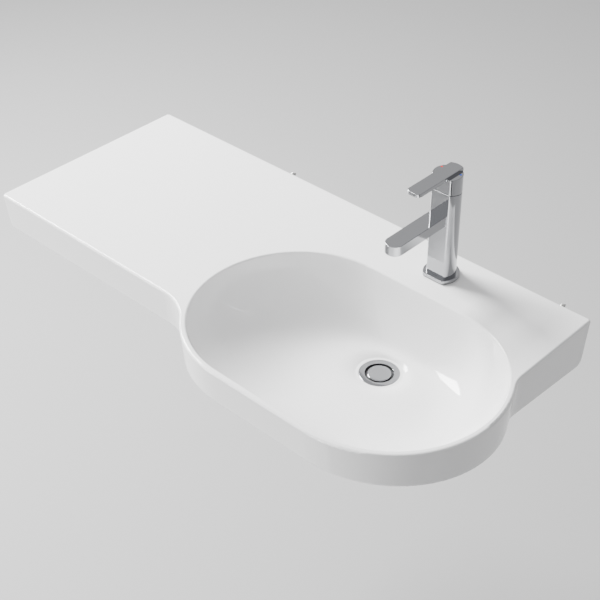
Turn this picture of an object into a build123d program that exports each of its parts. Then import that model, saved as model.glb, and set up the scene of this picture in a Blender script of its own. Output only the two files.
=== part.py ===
# Wall-hung ceramic basin with a side shelf, a single-lever mixer and a press-to-open waste.
#
# x = 0 is the centreline of bowl, mixer and waste, y = 0 is the wall and z = 0 the height of the
# wall fixings. +X is to the right, -Y comes out of the wall and +Z is up. Sizes are millimetres.

import os
from math import atan, cos, degrees, pi, radians, sin, sqrt, tan

from build123d import *

# Basin outline
OVERALL_WIDTH = 920.0
OVERALL_DEPTH = 450.0
LEDGE_DEPTH = 107.8  # wall to the bowl's rim, where the mixer stands
RIM_STRAIGHT = 84.4  # half the straight run of the rim
RIM_WIDTH = 9.3
RIGHT_END = 226.4  # centreline to the deck's right end
SHELF_DEPTH = 369.0
SHELF_BLEND = 89.0  # hollow curve from the shelf's front into the bowl
END_BLEND = 50.0  # hollow curve from the right end into the bowl
SHELF_CORNER = 7.0
DECK_HEIGHT = 58.0  # deck above the wall fixings
DRAFT = 4.2  # degrees that the band leans in downwards
BAND_AT_WALL = 89.0
BAND_AT_FRONT = 58.0
TOP_ROUND = 3.5
RIM_ROUND = 3.0
UNDER_ROUND = 7.0
REAR_ROUND = 15.0

# Basin walls
DECK_THICKNESS = 14.0
BAND_WALL = 12.0
BACK_WALL = 18.0
RIB_WIDTH = 11.0
RIB_RECESS = 18.0  # ribs stop this far above the band's lower edge
RIB_FIRST = 125.0  # left end to the first rib
RIB_STEP = 200.0
RIB_COUNT = 2

# Bowl
BOWL_DEPTH = 107.5  # deck to the top of the waste flange
FLOOR_FALL = 12.0
FLOOR_SHARE = 0.62  # share of the way from rim to waste where wall has turned into floor
WALL_LEAN = 0.15
BOWL_LEVELS = 5
BOWL_WALL = 9.5
FLOOR_WALL = 13.0
WASTE_FROM_WALL = 196.6
SEAT_RADIUS = 34.0
SEAT_STRAIGHT = 2.0

# Wall fixings
FIXING_SPACING = 280.0
SHELF_FIXING_STEP = 280.0  # left main fixing to the one under the shelf
BOLT_RADIUS = 5.0
SCREW_RADIUS = 4.8  # wood-thread half of the hanger bolt
SCREW_LENGTH = 62.0
SCREW_POINT = 8.0
SCREW_POINT_ANGLE = 25.0
BOLT_CHAMFER = 0.8
BOLT_PROUD = 6.0
SLEEVE_WALL = 2.4
SLEEVE_FLANGE_RADIUS = 15.0
SLEEVE_FLANGE = 3.0
WASHER_RADIUS = 13.0
WASHER_THICKNESS = 2.5
NUT_ACROSS_FLATS = 17.0
NUT_HEIGHT = 8.0

# Waste
FLANGE_RADIUS = 30.75
FLANGE_THICKNESS = 2.6
FLANGE_CHAMFER = 0.8
FLANGE_SEAL = 1.5
FLANGE_SEAL_RADIUS = 30.0
OPENING_RADIUS = 21.8
WELL_DEPTH = 5.5
THROAT_RADIUS = 17.0
THROAT_DEPTH = 14.0
TAIL_RADIUS = 23.9
TAIL_BORE = 20.8
TAIL_FREE = 32.0  # free thread below the groove
TAIL_GROOVE = 3.0
TAIL_GROOVE_DEPTH = 0.9
NUT_TO_GROOVE = 2.0
WASTE_HOLE_GAP = 1.1
BOSS_RADIUS = 42.0
BOSS_DEPTH = 32.0
BOTTOM_SEAL = 4.0
BOTTOM_SEAL_RADIUS = 33.0
SLIP_WASHER = 1.5
SLIP_WASHER_RADIUS = 34.0
BACKNUT_HEIGHT = 10.0
BACKNUT_RADIUS = 35.0
SPIDER_BAR = 3.0
SPIDER_HEIGHT = 8.0
HUB_RADIUS = 9.0

# Plug
PLUG_LIFT = 8.0
PLUG_RADIUS = 17.9
PLUG_THICKNESS = 3.0
PLUG_CHAMFER = 0.8
PLUG_SEAL_RADIUS = 20.9
PLUG_SOCKET = 2.0
STEM_RADIUS = 3.0
STEM_SHOULDER_RADIUS = 10.0
STEM_SHOULDER = 1.5
STEM_COLLAR_RADIUS = 4.5
STEM_COLLAR = 2.0
CLICK_BARREL_RADIUS = 6.0
CLICK_BARREL_BORE = 4.6
CLICK_HEAD_RADIUS = 7.5
CLICK_HEAD = 1.5
CLICK_NECK = 1.2
CLICK_FLOOR = 1.5
CLICK_RING_HEIGHT = 2.2
CLICK_TOOTH = 1.0
CLICK_TEETH = 4
SPRING_RADIUS = 3.5
SPRING_WIRE = 0.45
SPRING_SEATED = 6.5
SPRING_TURNS = 4
SPRING_SIDES = 12  # straight runs in each turn

# Mixer
TAP_FROM_WALL = 60.0
TAP_HOLE_RADIUS = 17.5
TAP_RADIUS = 22.2
TAP_FLAT = 15.4  # centre to the flat front
TAP_EDGE = 3.0
FOOT_RADIUS = 27.6
FOOT_FLAT = 21.8
FOOT_HEIGHT = 5.3
FOOT_CHAMFER = 0.8
GASKET_THICKNESS = 1.2
GASKET_INSET = 0.8
SPIGOT_RADIUS = 16.0
SPIGOT_BELOW_DECK = 3.0
SEAM_TILT = 10.0  # degrees that the seam falls towards the wall
SEAM_AT_FRONT = 150.3  # seam above the deck at the flat front
SPOUT_WIDTH = 28.0
SPOUT_TOP = 115.0
SPOUT_THICKNESS = 16.2
SPOUT_REACH = 127.0  # mixer's axis to the spout's tip
SPOUT_CHAMFER = 0.5
CHANNEL_WIDTH = 12.0
CHANNEL_HEIGHT = 5.0
CHANNEL_RISE = 9.2  # spout's underside to the bottom of its water channel

# Aerator
AERATOR_RADIUS = 11.0
AERATOR_WALL = 2.3
AERATOR_LIP = 0.7
AERATOR_LIP_HEIGHT = 1.0
AERATOR_HEIGHT = 8.0
AERATOR_PROUD = 1.6
AERATOR_INSERT = 5.0
AERATOR_SEAL = 1.4
AERATOR_SEAL_RADIUS = 10.6
AERATOR_JET = 0.9
AERATOR_RING_STEP = 3.2
AERATOR_RINGS = 2
AERATOR_JETS = 6  # in the first ring, and as many more in each ring outside it

# Mixer fixing under the deck
STUD_RADIUS = 4.0
STUD_FORWARD = 10.5
STUD_IN_BODY = 12.0
STUD_PROUD = 8.0
STUD_NUT_FLATS = 13.0
STUD_NUT_HEIGHT = 12.0
HORSESHOE_RADIUS = 24.0
HORSESHOE_MOUTH = 23.0
HORSESHOE_RUBBER = 3.0
HORSESHOE_PLATE = 2.5
HORSESHOE_BRIDGE = 5.0  # mixer's axis to the front of the horseshoe's mouth
HORSESHOE_CORNER = 6.0

# Cartridge, along the axis that stands square on the seam
CARTRIDGE_RADIUS = 12.5
CARTRIDGE_DEPTH = 26.0
CARTRIDGE_BORE = 9.8
CARTRIDGE_FLOOR = 20.6
CARTRIDGE_BASE = 3.4
NECK_RADIUS = 11.2
NECK_DEPTH = 8.0
NECK_RISE = 1.0
LIP_RADIUS = 8.95  # lip that keeps the turret in
LIP_DEPTH = 1.2
RETAINER_RADIUS = 13.1
RETAINER_TOP = 0.6  # below the seam
RETAINER_NOTCH = 4.0
RETAINER_NOTCH_DEPTH = 1.5
SPARE_THREAD = 1.0
INLET_RADIUS = 4.5
INLET_DEPTH = 12.0
INLET_X = 5.6
INLET_BACK = 3.7
OUTLET_FORWARD = 5.2
PORT_RADIUS = 1.9
PORT_SEAL_RADIUS = 2.9
PORT_SEAL_THICKNESS = 1.4
PORT_SEAL_SUNK = 1.2
DISC_PORT_X = 3.0
DISC_PORT_BACK = 0.4
DISC_PORT_RADIUS = 1.2
DISC_OUTLET_RADIUS = 1.5
FIXED_DISC = 3.0
FIXED_DISC_RADIUS = 9.7
MOVING_DISC = 2.2
CHAMBER_RADIUS = 5.7
CHAMBER_FRONT = 1.8
CHAMBER_NECK = 3.0
CHAMBER_NECK_REACH = 4.2
CHAMBER_DEPTH = 1.2
CARRIER_HEIGHT = 7.0
DISC_TRAVEL = 5.8
SLOT_WIDTH = 4.2
CARRIER_SLOT = 4.9
TURRET_DEPTH = 7.6
TURRET_SLOT_FRONT = 7.4
TURRET_SLOT_REAR = 2.1
BRIDGE_FRONT = 2.6
BRIDGE_TOP = 3.0

# Lever
LEVER_LIFT = 20.0
PIVOT_BACK = 10.0  # behind the cartridge's axis
PIVOT_RISE = 5.0  # above the seam
PIN_RADIUS = 1.5
PIN_LENGTH = 11.8
LUG_WIDTH = 6.0
LUG_RADIUS = 2.9
CHEEK_WIDTH = 2.9
CHEEK_RADIUS = 3.0
SLOT_FRONT = 3.7  # pivot to the front of the stem's slot for the lug
STEM_SQUARE = 8.0
STEM_TOP = 20.0
STEM_BLOCK_TOP = 10.4
STEM_BLOCK_FRONT = 4.5
STEM_BLOCK_BOTTOM = 3.6
TONGUE_RADIUS = 1.7
TONGUE_BOTTOM = 14.4  # below the seam
SLIP_RING = 0.5
SLIP_RING_INSET = 0.5
SHOULDER_HEIGHT = 175.7  # above the deck
BAR_TOP = 180.0
BAR_THICKNESS = 6.0
BAR_WIDTH = 23.4
BAR_REACH = 80.0  # mixer's axis to the bar's tip
BAR_REAR_RADIUS = 23.4
BAR_CORNER = 6.5
LEVER_CHAMFER = 0.5
HEAD_WALL = 2.6
HEAD_HOLLOW = 11.0
SOCKET_GAP = 0.05
REAR_RELIEF_START = 0.5  # behind the pivot
REAR_RELIEF_EXTRA = 1.5  # degrees past the lever's lift
GRUB_RADIUS = 2.5
GRUB_HEIGHT = 15.0  # above the seam
GRUB_LENGTH = 8.0
GRUB_KEY = 1.3
GRUB_KEY_DEPTH = 2.5
DOT_RADIUS = 1.7
DOT_SIDE = 16.9
DOT_BACK = 7.3
DOT_SUNK = 0.4
DOT_PROUD = 0.1

# Clearances
THREAD_GAP = 0.05
RUN_GAP = 0.05
MOVE_GAP = 0.3
FIT_GAP = 0.2
OVERRUN = 20.0  # how far a cutting shape runs past what it cuts

# Places that follow from the sizes
rim_radius = (OVERALL_DEPTH - LEDGE_DEPTH) / 2
bowl_y = -(OVERALL_DEPTH - rim_radius)
left_end = -(OVERALL_WIDTH - RIM_STRAIGHT - rim_radius)
under_slope = degrees(atan((BAND_AT_WALL - BAND_AT_FRONT) / OVERALL_DEPTH))
under_plane = Plane((0, 0, DECK_HEIGHT - BAND_AT_WALL)).rotated((-under_slope, 0, 0))
ceiling = DECK_HEIGHT - DECK_THICKNESS
deck = Plane.XY.offset(DECK_HEIGHT)
fixing_points = (
    (-FIXING_SPACING / 2, 0),
    (FIXING_SPACING / 2, 0),
    (-FIXING_SPACING / 2 - SHELF_FIXING_STEP, 0),
)
sleeve_radius = BOLT_RADIUS + FIT_GAP + SLEEVE_WALL
bolt_reach = BACK_WALL + SLEEVE_FLANGE + WASHER_THICKNESS + NUT_HEIGHT + BOLT_PROUD
waste = Plane((0, -WASTE_FROM_WALL, DECK_HEIGHT - BOWL_DEPTH))
waste_hole_radius = TAIL_RADIUS + WASTE_HOLE_GAP
recess_depth = FLANGE_THICKNESS + FLANGE_SEAL
groove_top = BOSS_DEPTH + BOTTOM_SEAL + SLIP_WASHER + BACKNUT_HEIGHT + NUT_TO_GROOVE
tail_end = groove_top + TAIL_GROOVE + TAIL_FREE
seal_thickness = WELL_DEPTH - PLUG_THICKNESS - MOVE_GAP
shoulder_top = PLUG_THICKNESS + seal_thickness
click_top = THROAT_DEPTH - CLICK_HEAD
collar_top = click_top + CLICK_NECK + PLUG_LIFT + CLICK_RING_HEIGHT + MOVE_GAP
collar_bottom = collar_top + STEM_COLLAR
spring_floor = collar_bottom + SPRING_SEATED
barrel_end = spring_floor + CLICK_FLOOR
tap = Plane((0, -TAP_FROM_WALL, DECK_HEIGHT))
spigot_end = tap.offset(-SPIGOT_BELOW_DECK)
body_foot = GASKET_THICKNESS + FOOT_HEIGHT
cartridge_back = (TAP_RADIUS - TAP_FLAT) / 2
seam_rise = SEAM_AT_FRONT - (TAP_FLAT + cartridge_back) * tan(radians(SEAM_TILT))
seam = Plane((0, cartridge_back - TAP_FROM_WALL, DECK_HEIGHT + seam_rise)).rotated((-SEAM_TILT, 0, 0))
seam_side = Plane(origin=seam.origin, x_dir=seam.y_dir, z_dir=(1, 0, 0))
cavity_depth = CARTRIDGE_DEPTH + PORT_SEAL_THICKNESS - PORT_SEAL_SUNK
floor_ports = [(-INLET_X, INLET_BACK), (INLET_X, INLET_BACK), (0, -OUTLET_FORWARD)]
disc_ports = [(-DISC_PORT_X, DISC_PORT_BACK), (DISC_PORT_X, DISC_PORT_BACK)]
supply_ports = [tap.to_local_coords(seam.from_local_coords((x, y, -cavity_depth))) for x, y in floor_ports]
inlet_points = [(port.X, port.Y) for port in supply_ports[:2]]
outlet_point = (supply_ports[2].X, supply_ports[2].Y)
spout_end = SPOUT_REACH - SPOUT_WIDTH / 2
spout_under = SPOUT_TOP - SPOUT_THICKNESS
aerator_low = tap.offset(spout_under - AERATOR_PROUD)
aerator_recess = AERATOR_HEIGHT - AERATOR_PROUD + AERATOR_SEAL
aerator_bore = AERATOR_RADIUS - AERATOR_WALL
channel_floor = spout_under + CHANNEL_RISE
clamp_stack = DECK_THICKNESS + HORSESHOE_RUBBER + HORSESHOE_PLATE + STUD_NUT_HEIGHT
stud_length = STUD_IN_BODY - SPIGOT_BELOW_DECK + clamp_stack + STUD_PROUD
base_spigot = CARTRIDGE_DEPTH - CARTRIDGE_BASE - CARTRIDGE_FLOOR
bridge_low = NECK_RISE + MOVE_GAP
turret_slot = TURRET_SLOT_FRONT + TURRET_SLOT_REAR
relief_start = (PIVOT_BACK + REAR_RELIEF_START, SLIP_RING + MOVE_GAP)
relief_angle = radians(LEVER_LIFT + REAR_RELIEF_EXTRA)
disc_start = DISC_TRAVEL / 2
disc_radius = CARTRIDGE_BORE - disc_start - MOVE_GAP
disc_bottom = CARTRIDGE_FLOOR - FIXED_DISC - MOVE_GAP
disc_top = disc_bottom - MOVING_DISC
handle_low = SLIP_RING + MOVE_GAP
stem_half = LUG_WIDTH / 2 + MOVE_GAP
grub = Plane(
    origin=seam.from_local_coords((0, -STEM_SQUARE / 2 - GRUB_LENGTH, GRUB_HEIGHT)),
    x_dir=(1, 0, 0),
    z_dir=seam.y_dir,
)


def side_view(base):
    """The upright plane through a level plane's origin, in which outlines are turned about Y."""
    return Plane(origin=base.origin, x_dir=base.x_dir, z_dir=-base.y_dir)


def upright_axis(base):
    """The axis that stands square on a level plane at its origin."""
    return Axis(base.origin, base.z_dir)


def draw_ring(inner, outer):
    """A ring round the sketch's origin."""
    Circle(outer)
    Circle(inner, mode=Mode.SUBTRACT)


def draw_flatted(inset):
    """A disc round the mixer's axis with a flat front, as the mixer's body, made smaller by the inset."""
    Circle(TAP_RADIUS - inset)
    with Locations((0, inset - TAP_FLAT)):
        Rectangle(2 * TAP_RADIUS, TAP_RADIUS, align=(Align.CENTER, Align.MAX), mode=Mode.SUBTRACT)


def draw_foot(inset):
    """Outline of the mixer's foot made smaller by the inset, with the hole for the spigot."""
    Circle(FOOT_RADIUS - inset)
    with Locations((0, inset - FOOT_FLAT)):
        Rectangle(2 * FOOT_RADIUS, FOOT_RADIUS, align=(Align.CENTER, Align.MAX), mode=Mode.SUBTRACT)
    Circle(SPIGOT_RADIUS + FIT_GAP, mode=Mode.SUBTRACT)


def draw_horseshoe():
    """Round plate with a mouth open to the wall for the hoses and a hole for the stud."""
    Circle(HORSESHOE_RADIUS)
    with Locations((0, -HORSESHOE_BRIDGE)):
        RectangleRounded(
            HORSESHOE_MOUTH,
            2 * HORSESHOE_RADIUS,
            HORSESHOE_CORNER,
            align=(Align.CENTER, Align.MIN),
            mode=Mode.SUBTRACT,
        )
    with Locations((0, -STUD_FORWARD)):
        Circle(STUD_RADIUS + FIT_GAP, mode=Mode.SUBTRACT)


def draw_plan(inset):
    """Basin seen from above, a shelf and a pill-shaped bowl blended together."""
    radius = rim_radius - inset
    front = -(SHELF_DEPTH - inset)
    end = RIGHT_END - inset
    with Locations(((left_end + RIGHT_END) / 2, 0)):
        Rectangle(RIGHT_END - left_end - 2 * inset, 2 * (SHELF_DEPTH - inset))
    with Locations((0, bowl_y)):
        SlotOverall(2 * (RIM_STRAIGHT + radius), 2 * radius)
    notch = Vector(-RIM_STRAIGHT - sqrt(radius**2 - (front - bowl_y) ** 2), front)
    shoulder = Vector(end, bowl_y + sqrt(radius**2 - (end - RIM_STRAIGHT) ** 2))
    outline = BuildSketch._get_context()
    fillet(outline.vertices().sort_by_distance(notch)[0], SHELF_BLEND + inset)
    fillet(outline.vertices().sort_by_distance(shoulder)[0], END_BLEND + inset)


def under_height(y):
    """Height of the band's sloping lower edge at a distance from the wall."""
    return DECK_HEIGHT - BAND_AT_WALL - y * tan(radians(under_slope))


def bowl_level(turned):
    """Share of the way from rim to waste, and the drop, where the wall has turned so many degrees."""
    angle = radians(turned)
    share = FLOOR_SHARE * (WALL_LEAN * sin(angle) + (1 - WALL_LEAN) * (1 - cos(angle)))
    return share, (BOWL_DEPTH - FLOOR_FALL) * sin(angle) + FLOOR_FALL * share


def draw_bowl_level(share, grow):
    """One level of the bowl, a pill shape that shrinks and moves back towards the waste."""
    straight = RIM_STRAIGHT + (SEAT_STRAIGHT - RIM_STRAIGHT) * share
    radius = (rim_radius - RIM_WIDTH) * (1 - share) + SEAT_RADIUS * share + grow
    with Locations((0, bowl_y - (WASTE_FROM_WALL + bowl_y) * share)):
        SlotOverall(2 * (straight + radius), 2 * radius)


turns = [90 * step / BOWL_LEVELS for step in range(BOWL_LEVELS + 1)]
levels = [bowl_level(turned) for turned in turns] + [(1.0, BOWL_DEPTH)]

# Space inside the bowl
with BuildPart() as bowl_space:
    for share, drop in levels:
        with BuildSketch(Plane.XY.offset(DECK_HEIGHT - drop)):
            draw_bowl_level(share, 0)
    loft()

# Outside of the bowl, the same form one wall further out, starting inside the deck
with BuildPart() as belly:
    for share, drop in [bowl_level(turns[1] / 4)] + levels[1:]:
        with BuildSketch(Plane.XY.offset(DECK_HEIGHT - drop * (1 + FLOOR_WALL / BOWL_DEPTH))):
            draw_bowl_level(share, BOWL_WALL)
    loft()

# Open hollow under the deck, with the ribs left standing in it
with BuildPart() as hollow:
    with BuildSketch(Plane.XY.offset(ceiling)):
        draw_plan(BAND_WALL + DECK_THICKNESS * tan(radians(DRAFT)))
    extrude(amount=-BAND_AT_WALL, taper=DRAFT)
    split(bisect_by=Plane.XZ.offset(BACK_WALL), keep=Keep.TOP)
    for index in range(RIB_COUNT):
        rib_x = left_end + RIB_FIRST + RIB_STEP * index
        with BuildSketch(Plane.YZ.offset(rib_x - RIB_WIDTH / 2)):
            with BuildLine():
                Polyline(
                    (OVERRUN, under_height(OVERRUN) + RIB_RECESS),
                    (-OVERALL_DEPTH, under_height(-OVERALL_DEPTH) + RIB_RECESS),
                    (-OVERALL_DEPTH, ceiling + OVERRUN),
                    (OVERRUN, ceiling + OVERRUN),
                    close=True,
                )
            make_face()
        extrude(amount=RIB_WIDTH, mode=Mode.SUBTRACT)


with BuildPart() as basin:
    with BuildSketch(deck):
        draw_plan(0)
    extrude(amount=-BAND_AT_WALL, taper=DRAFT)
    split(bisect_by=Plane.XZ, keep=Keep.TOP)
    split(bisect_by=under_plane, keep=Keep.TOP)
    corner = Vector(left_end, -SHELF_DEPTH, DECK_HEIGHT - BAND_AT_FRONT / 2)
    fillet(basin.edges().sort_by_distance(corner)[0], SHELF_CORNER)
    rear_edges = basin.edges().filter_by_position(Axis.Y, -0.01, 0.01)
    fillet(rear_edges.sort_by(Axis.Z)[0], REAR_ROUND)
    deck_face = basin.faces().sort_by(Axis.Z)[-1]
    fillet(deck_face.edges().sort_by(Axis.Y)[:-1], TOP_ROUND)
    under_face = basin.faces().filter_by(Axis(under_plane.origin, under_plane.z_dir))
    under_edges = under_face.sort_by(Axis.Z)[0].edges().sort_by(Axis.Y)[:-1]
    fillet(under_edges, UNDER_ROUND)
    add(hollow.part, mode=Mode.SUBTRACT)
    add(belly.part)
    with BuildSketch(waste.offset(-BOSS_DEPTH)):
        Circle(BOSS_RADIUS)
    extrude(amount=BOSS_DEPTH - recess_depth)
    add(bowl_space.part, mode=Mode.SUBTRACT)
    rim_wire = basin.faces().sort_by(Axis.Z)[-1].inner_wires()[0]
    fillet(rim_wire.edges(), RIM_ROUND)
    with BuildSketch(waste.offset(-recess_depth)):
        Circle(FLANGE_RADIUS + FIT_GAP)
    extrude(amount=recess_depth + OVERRUN, mode=Mode.SUBTRACT)
    with BuildSketch(waste.offset(-BOSS_DEPTH - OVERRUN)):
        Circle(waste_hole_radius)
    extrude(amount=BOSS_DEPTH + OVERRUN, mode=Mode.SUBTRACT)
    with BuildSketch(tap.offset(-DECK_THICKNESS)):
        Circle(TAP_HOLE_RADIUS)
    extrude(amount=DECK_THICKNESS, mode=Mode.SUBTRACT)
    with BuildSketch(Plane.XZ):
        with Locations(*fixing_points):
            Circle(sleeve_radius + FIT_GAP)
    extrude(amount=BACK_WALL, mode=Mode.SUBTRACT)
basin.part.label = "basin"

# Wall fixings, each built outwards from the wall
with BuildPart() as wall_hanger_bolts:
    with BuildSketch(Plane.XZ):
        with Locations(*fixing_points):
            Circle(BOLT_RADIUS)
    extrude(amount=bolt_reach)
    chamfer(wall_hanger_bolts.edges().group_by(Axis.Y)[0], BOLT_CHAMFER)
    with BuildSketch(Plane.XZ):
        with Locations(*fixing_points):
            Circle(SCREW_RADIUS)
    extrude(amount=-SCREW_LENGTH)
    with BuildSketch(Plane.XZ.offset(-SCREW_LENGTH)):
        with Locations(*fixing_points):
            Circle(SCREW_RADIUS)
    extrude(amount=-SCREW_POINT, taper=SCREW_POINT_ANGLE)
wall_hanger_bolts.part.label = "wall_hanger_bolts"

with BuildPart() as wall_bolt_sleeves:
    for depth, outer, amount in (
        (0, sleeve_radius, BACK_WALL),
        (BACK_WALL, SLEEVE_FLANGE_RADIUS, SLEEVE_FLANGE),
    ):
        with BuildSketch(Plane.XZ.offset(depth)):
            with Locations(*fixing_points):
                draw_ring(BOLT_RADIUS + FIT_GAP, outer)
        extrude(amount=amount)
wall_bolt_sleeves.part.label = "wall_bolt_sleeves"

with BuildPart() as wall_bolt_washers:
    with BuildSketch(Plane.XZ.offset(BACK_WALL + SLEEVE_FLANGE)):
        with Locations(*fixing_points):
            draw_ring(BOLT_RADIUS + FIT_GAP, WASHER_RADIUS)
    extrude(amount=WASHER_THICKNESS)
wall_bolt_washers.part.label = "wall_bolt_washers"

with BuildPart() as wall_bolt_nuts:
    with BuildSketch(Plane.XZ.offset(BACK_WALL + SLEEVE_FLANGE + WASHER_THICKNESS)):
        with Locations(*fixing_points):
            RegularPolygon(NUT_ACROSS_FLATS / 2, 6, major_radius=False)
            Circle(BOLT_RADIUS + THREAD_GAP, mode=Mode.SUBTRACT)
    extrude(amount=NUT_HEIGHT)
wall_bolt_nuts.part.label = "wall_bolt_nuts"

# Waste, measured from the top of its flange
with BuildPart() as waste_body:
    with BuildSketch(side_view(waste)):
        Polygon(
            (OPENING_RADIUS, 0),
            (FLANGE_RADIUS, 0),
            (FLANGE_RADIUS, -FLANGE_THICKNESS),
            (TAIL_RADIUS, -FLANGE_THICKNESS),
            (TAIL_RADIUS, -groove_top),
            (TAIL_RADIUS - TAIL_GROOVE_DEPTH, -groove_top),
            (TAIL_RADIUS - TAIL_GROOVE_DEPTH, -groove_top - TAIL_GROOVE),
            (TAIL_RADIUS, -groove_top - TAIL_GROOVE),
            (TAIL_RADIUS, -tail_end),
            (TAIL_BORE, -tail_end),
            (TAIL_BORE, -THROAT_DEPTH),
            (THROAT_RADIUS, -THROAT_DEPTH),
            (THROAT_RADIUS, -WELL_DEPTH),
            (OPENING_RADIUS, -WELL_DEPTH),
            align=None,
        )
    revolve(axis=upright_axis(waste))
    chamfer(waste_body.edges().group_by(Axis.Z)[-1].sort_by(SortBy.LENGTH)[-1], FLANGE_CHAMFER)
    with BuildSketch(waste.offset(-THROAT_DEPTH)):
        Circle(HUB_RADIUS)
        Rectangle(2 * TAIL_BORE + SPIDER_BAR, SPIDER_BAR)
        Rectangle(SPIDER_BAR, 2 * TAIL_BORE + SPIDER_BAR)
        Circle(CLICK_BARREL_RADIUS + THREAD_GAP, mode=Mode.SUBTRACT)
    extrude(amount=-SPIDER_HEIGHT)
waste_body.part.label = "waste_body"

with BuildPart() as waste_top_seal:
    with BuildSketch(waste.offset(-recess_depth)):
        draw_ring(waste_hole_radius, FLANGE_SEAL_RADIUS)
    extrude(amount=FLANGE_SEAL)
waste_top_seal.part.label = "waste_top_seal"

with BuildPart() as waste_bottom_seal:
    with BuildSketch(waste.offset(-BOSS_DEPTH)):
        draw_ring(TAIL_RADIUS + THREAD_GAP, BOTTOM_SEAL_RADIUS)
    extrude(amount=-BOTTOM_SEAL)
waste_bottom_seal.part.label = "waste_bottom_seal"

with BuildPart() as waste_slip_washer:
    with BuildSketch(waste.offset(-BOSS_DEPTH - BOTTOM_SEAL)):
        draw_ring(TAIL_RADIUS + THREAD_GAP, SLIP_WASHER_RADIUS)
    extrude(amount=-SLIP_WASHER)
waste_slip_washer.part.label = "waste_slip_washer"

with BuildPart() as waste_backnut:
    with BuildSketch(waste.offset(-BOSS_DEPTH - BOTTOM_SEAL - SLIP_WASHER)):
        RegularPolygon(BACKNUT_RADIUS, 6)
        Circle(TAIL_RADIUS + THREAD_GAP, mode=Mode.SUBTRACT)
    extrude(amount=-BACKNUT_HEIGHT)
waste_backnut.part.label = "waste_backnut"

# Plug, drawn closed: its seal hangs a moving gap above the ledge in the waste
with BuildPart() as plug_cap:
    with BuildSketch(waste):
        Circle(PLUG_RADIUS)
    extrude(amount=-PLUG_THICKNESS)
    chamfer(plug_cap.edges().sort_by(Axis.Z)[-1], PLUG_CHAMFER)
    with BuildSketch(waste.offset(-PLUG_THICKNESS)):
        Circle(STEM_RADIUS + THREAD_GAP)
    extrude(amount=PLUG_SOCKET, mode=Mode.SUBTRACT)
plug_cap.part.label = "plug_cap"

with BuildPart() as plug_seal:
    with BuildSketch(waste.offset(-PLUG_THICKNESS)):
        draw_ring(STEM_RADIUS + THREAD_GAP, PLUG_SEAL_RADIUS)
    extrude(amount=-seal_thickness)
plug_seal.part.label = "plug_seal"

with BuildPart() as plug_stem:
    with BuildSketch(side_view(waste)):
        Polygon(
            (0, -PLUG_THICKNESS + PLUG_SOCKET - THREAD_GAP),
            (STEM_RADIUS, -PLUG_THICKNESS + PLUG_SOCKET - THREAD_GAP),
            (STEM_RADIUS, -shoulder_top),
            (STEM_SHOULDER_RADIUS, -shoulder_top),
            (STEM_SHOULDER_RADIUS, -shoulder_top - STEM_SHOULDER),
            (STEM_RADIUS, -shoulder_top - STEM_SHOULDER),
            (STEM_RADIUS, -collar_top),
            (STEM_COLLAR_RADIUS, -collar_top),
            (STEM_COLLAR_RADIUS, -collar_bottom),
            (0, -collar_bottom),
            align=None,
        )
    revolve(axis=upright_axis(waste))
plug_stem.part.label = "plug_stem"

with BuildPart() as click_ring:
    with BuildSketch(waste.offset(-collar_top)):
        draw_ring(STEM_RADIUS + THREAD_GAP, STEM_COLLAR_RADIUS)
    extrude(amount=CLICK_RING_HEIGHT)
    with BuildSketch(waste.offset(-collar_top + CLICK_RING_HEIGHT)):
        with PolarLocations(0, CLICK_TEETH):
            Rectangle(STEM_COLLAR_RADIUS, CLICK_TOOTH, align=(Align.MIN, Align.CENTER))
    extrude(amount=-CLICK_TOOTH, mode=Mode.SUBTRACT)
click_ring.part.label = "click_ring"

with BuildPart() as click_housing:
    with BuildSketch(side_view(waste)):
        Polygon(
            (0, -barrel_end),
            (CLICK_BARREL_RADIUS, -barrel_end),
            (CLICK_BARREL_RADIUS, -THROAT_DEPTH),
            (CLICK_HEAD_RADIUS, -THROAT_DEPTH),
            (CLICK_HEAD_RADIUS, -click_top),
            (STEM_RADIUS + RUN_GAP, -click_top),
            (STEM_RADIUS + RUN_GAP, -click_top - CLICK_NECK),
            (CLICK_BARREL_BORE, -click_top - CLICK_NECK),
            (CLICK_BARREL_BORE, -spring_floor),
            (0, -spring_floor),
            align=None,
        )
    revolve(axis=upright_axis(waste))
click_housing.part.label = "click_housing"

spring_step = (SPRING_SEATED - 2 * SPRING_WIRE) / SPRING_TURNS / SPRING_SIDES
spring_turns = [2 * pi * side / SPRING_SIDES for side in range(SPRING_TURNS * SPRING_SIDES + 1)]
with BuildPart() as plug_spring:
    with BuildLine(waste.offset(-spring_floor + SPRING_WIRE)):
        coil = Polyline(
            *[
                (SPRING_RADIUS * cos(turn), SPRING_RADIUS * sin(turn), spring_step * side)
                for side, turn in enumerate(spring_turns)
            ]
        )
    with BuildSketch(Plane(coil @ 0, z_dir=coil % 0)):
        RegularPolygon(SPRING_WIRE, 6)
    sweep(transition=Transition.RIGHT)
plug_spring.part.label = "plug_spring"

# Mixer body and foot
with BuildPart() as tap_base_gasket:
    with BuildSketch(tap):
        draw_foot(GASKET_INSET)
    extrude(amount=GASKET_THICKNESS)
tap_base_gasket.part.label = "tap_base_gasket"

with BuildPart() as tap_foot_ring:
    with BuildSketch(tap.offset(GASKET_THICKNESS)):
        draw_foot(0)
    extrude(amount=FOOT_HEIGHT)
    chamfer(tap_foot_ring.faces().sort_by(Axis.Z)[-1].outer_wire().edges(), FOOT_CHAMFER)
tap_foot_ring.part.label = "tap_foot_ring"

with BuildPart() as spout:
    with BuildSketch(tap.offset(SPOUT_TOP)):
        with Locations((0, -spout_end / 2)):
            SlotCenterToCenter(spout_end, SPOUT_WIDTH, rotation=90)
    extrude(amount=-SPOUT_THICKNESS)
    chamfer(spout.edges().filter_by(Plane.XY), SPOUT_CHAMFER)

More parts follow.
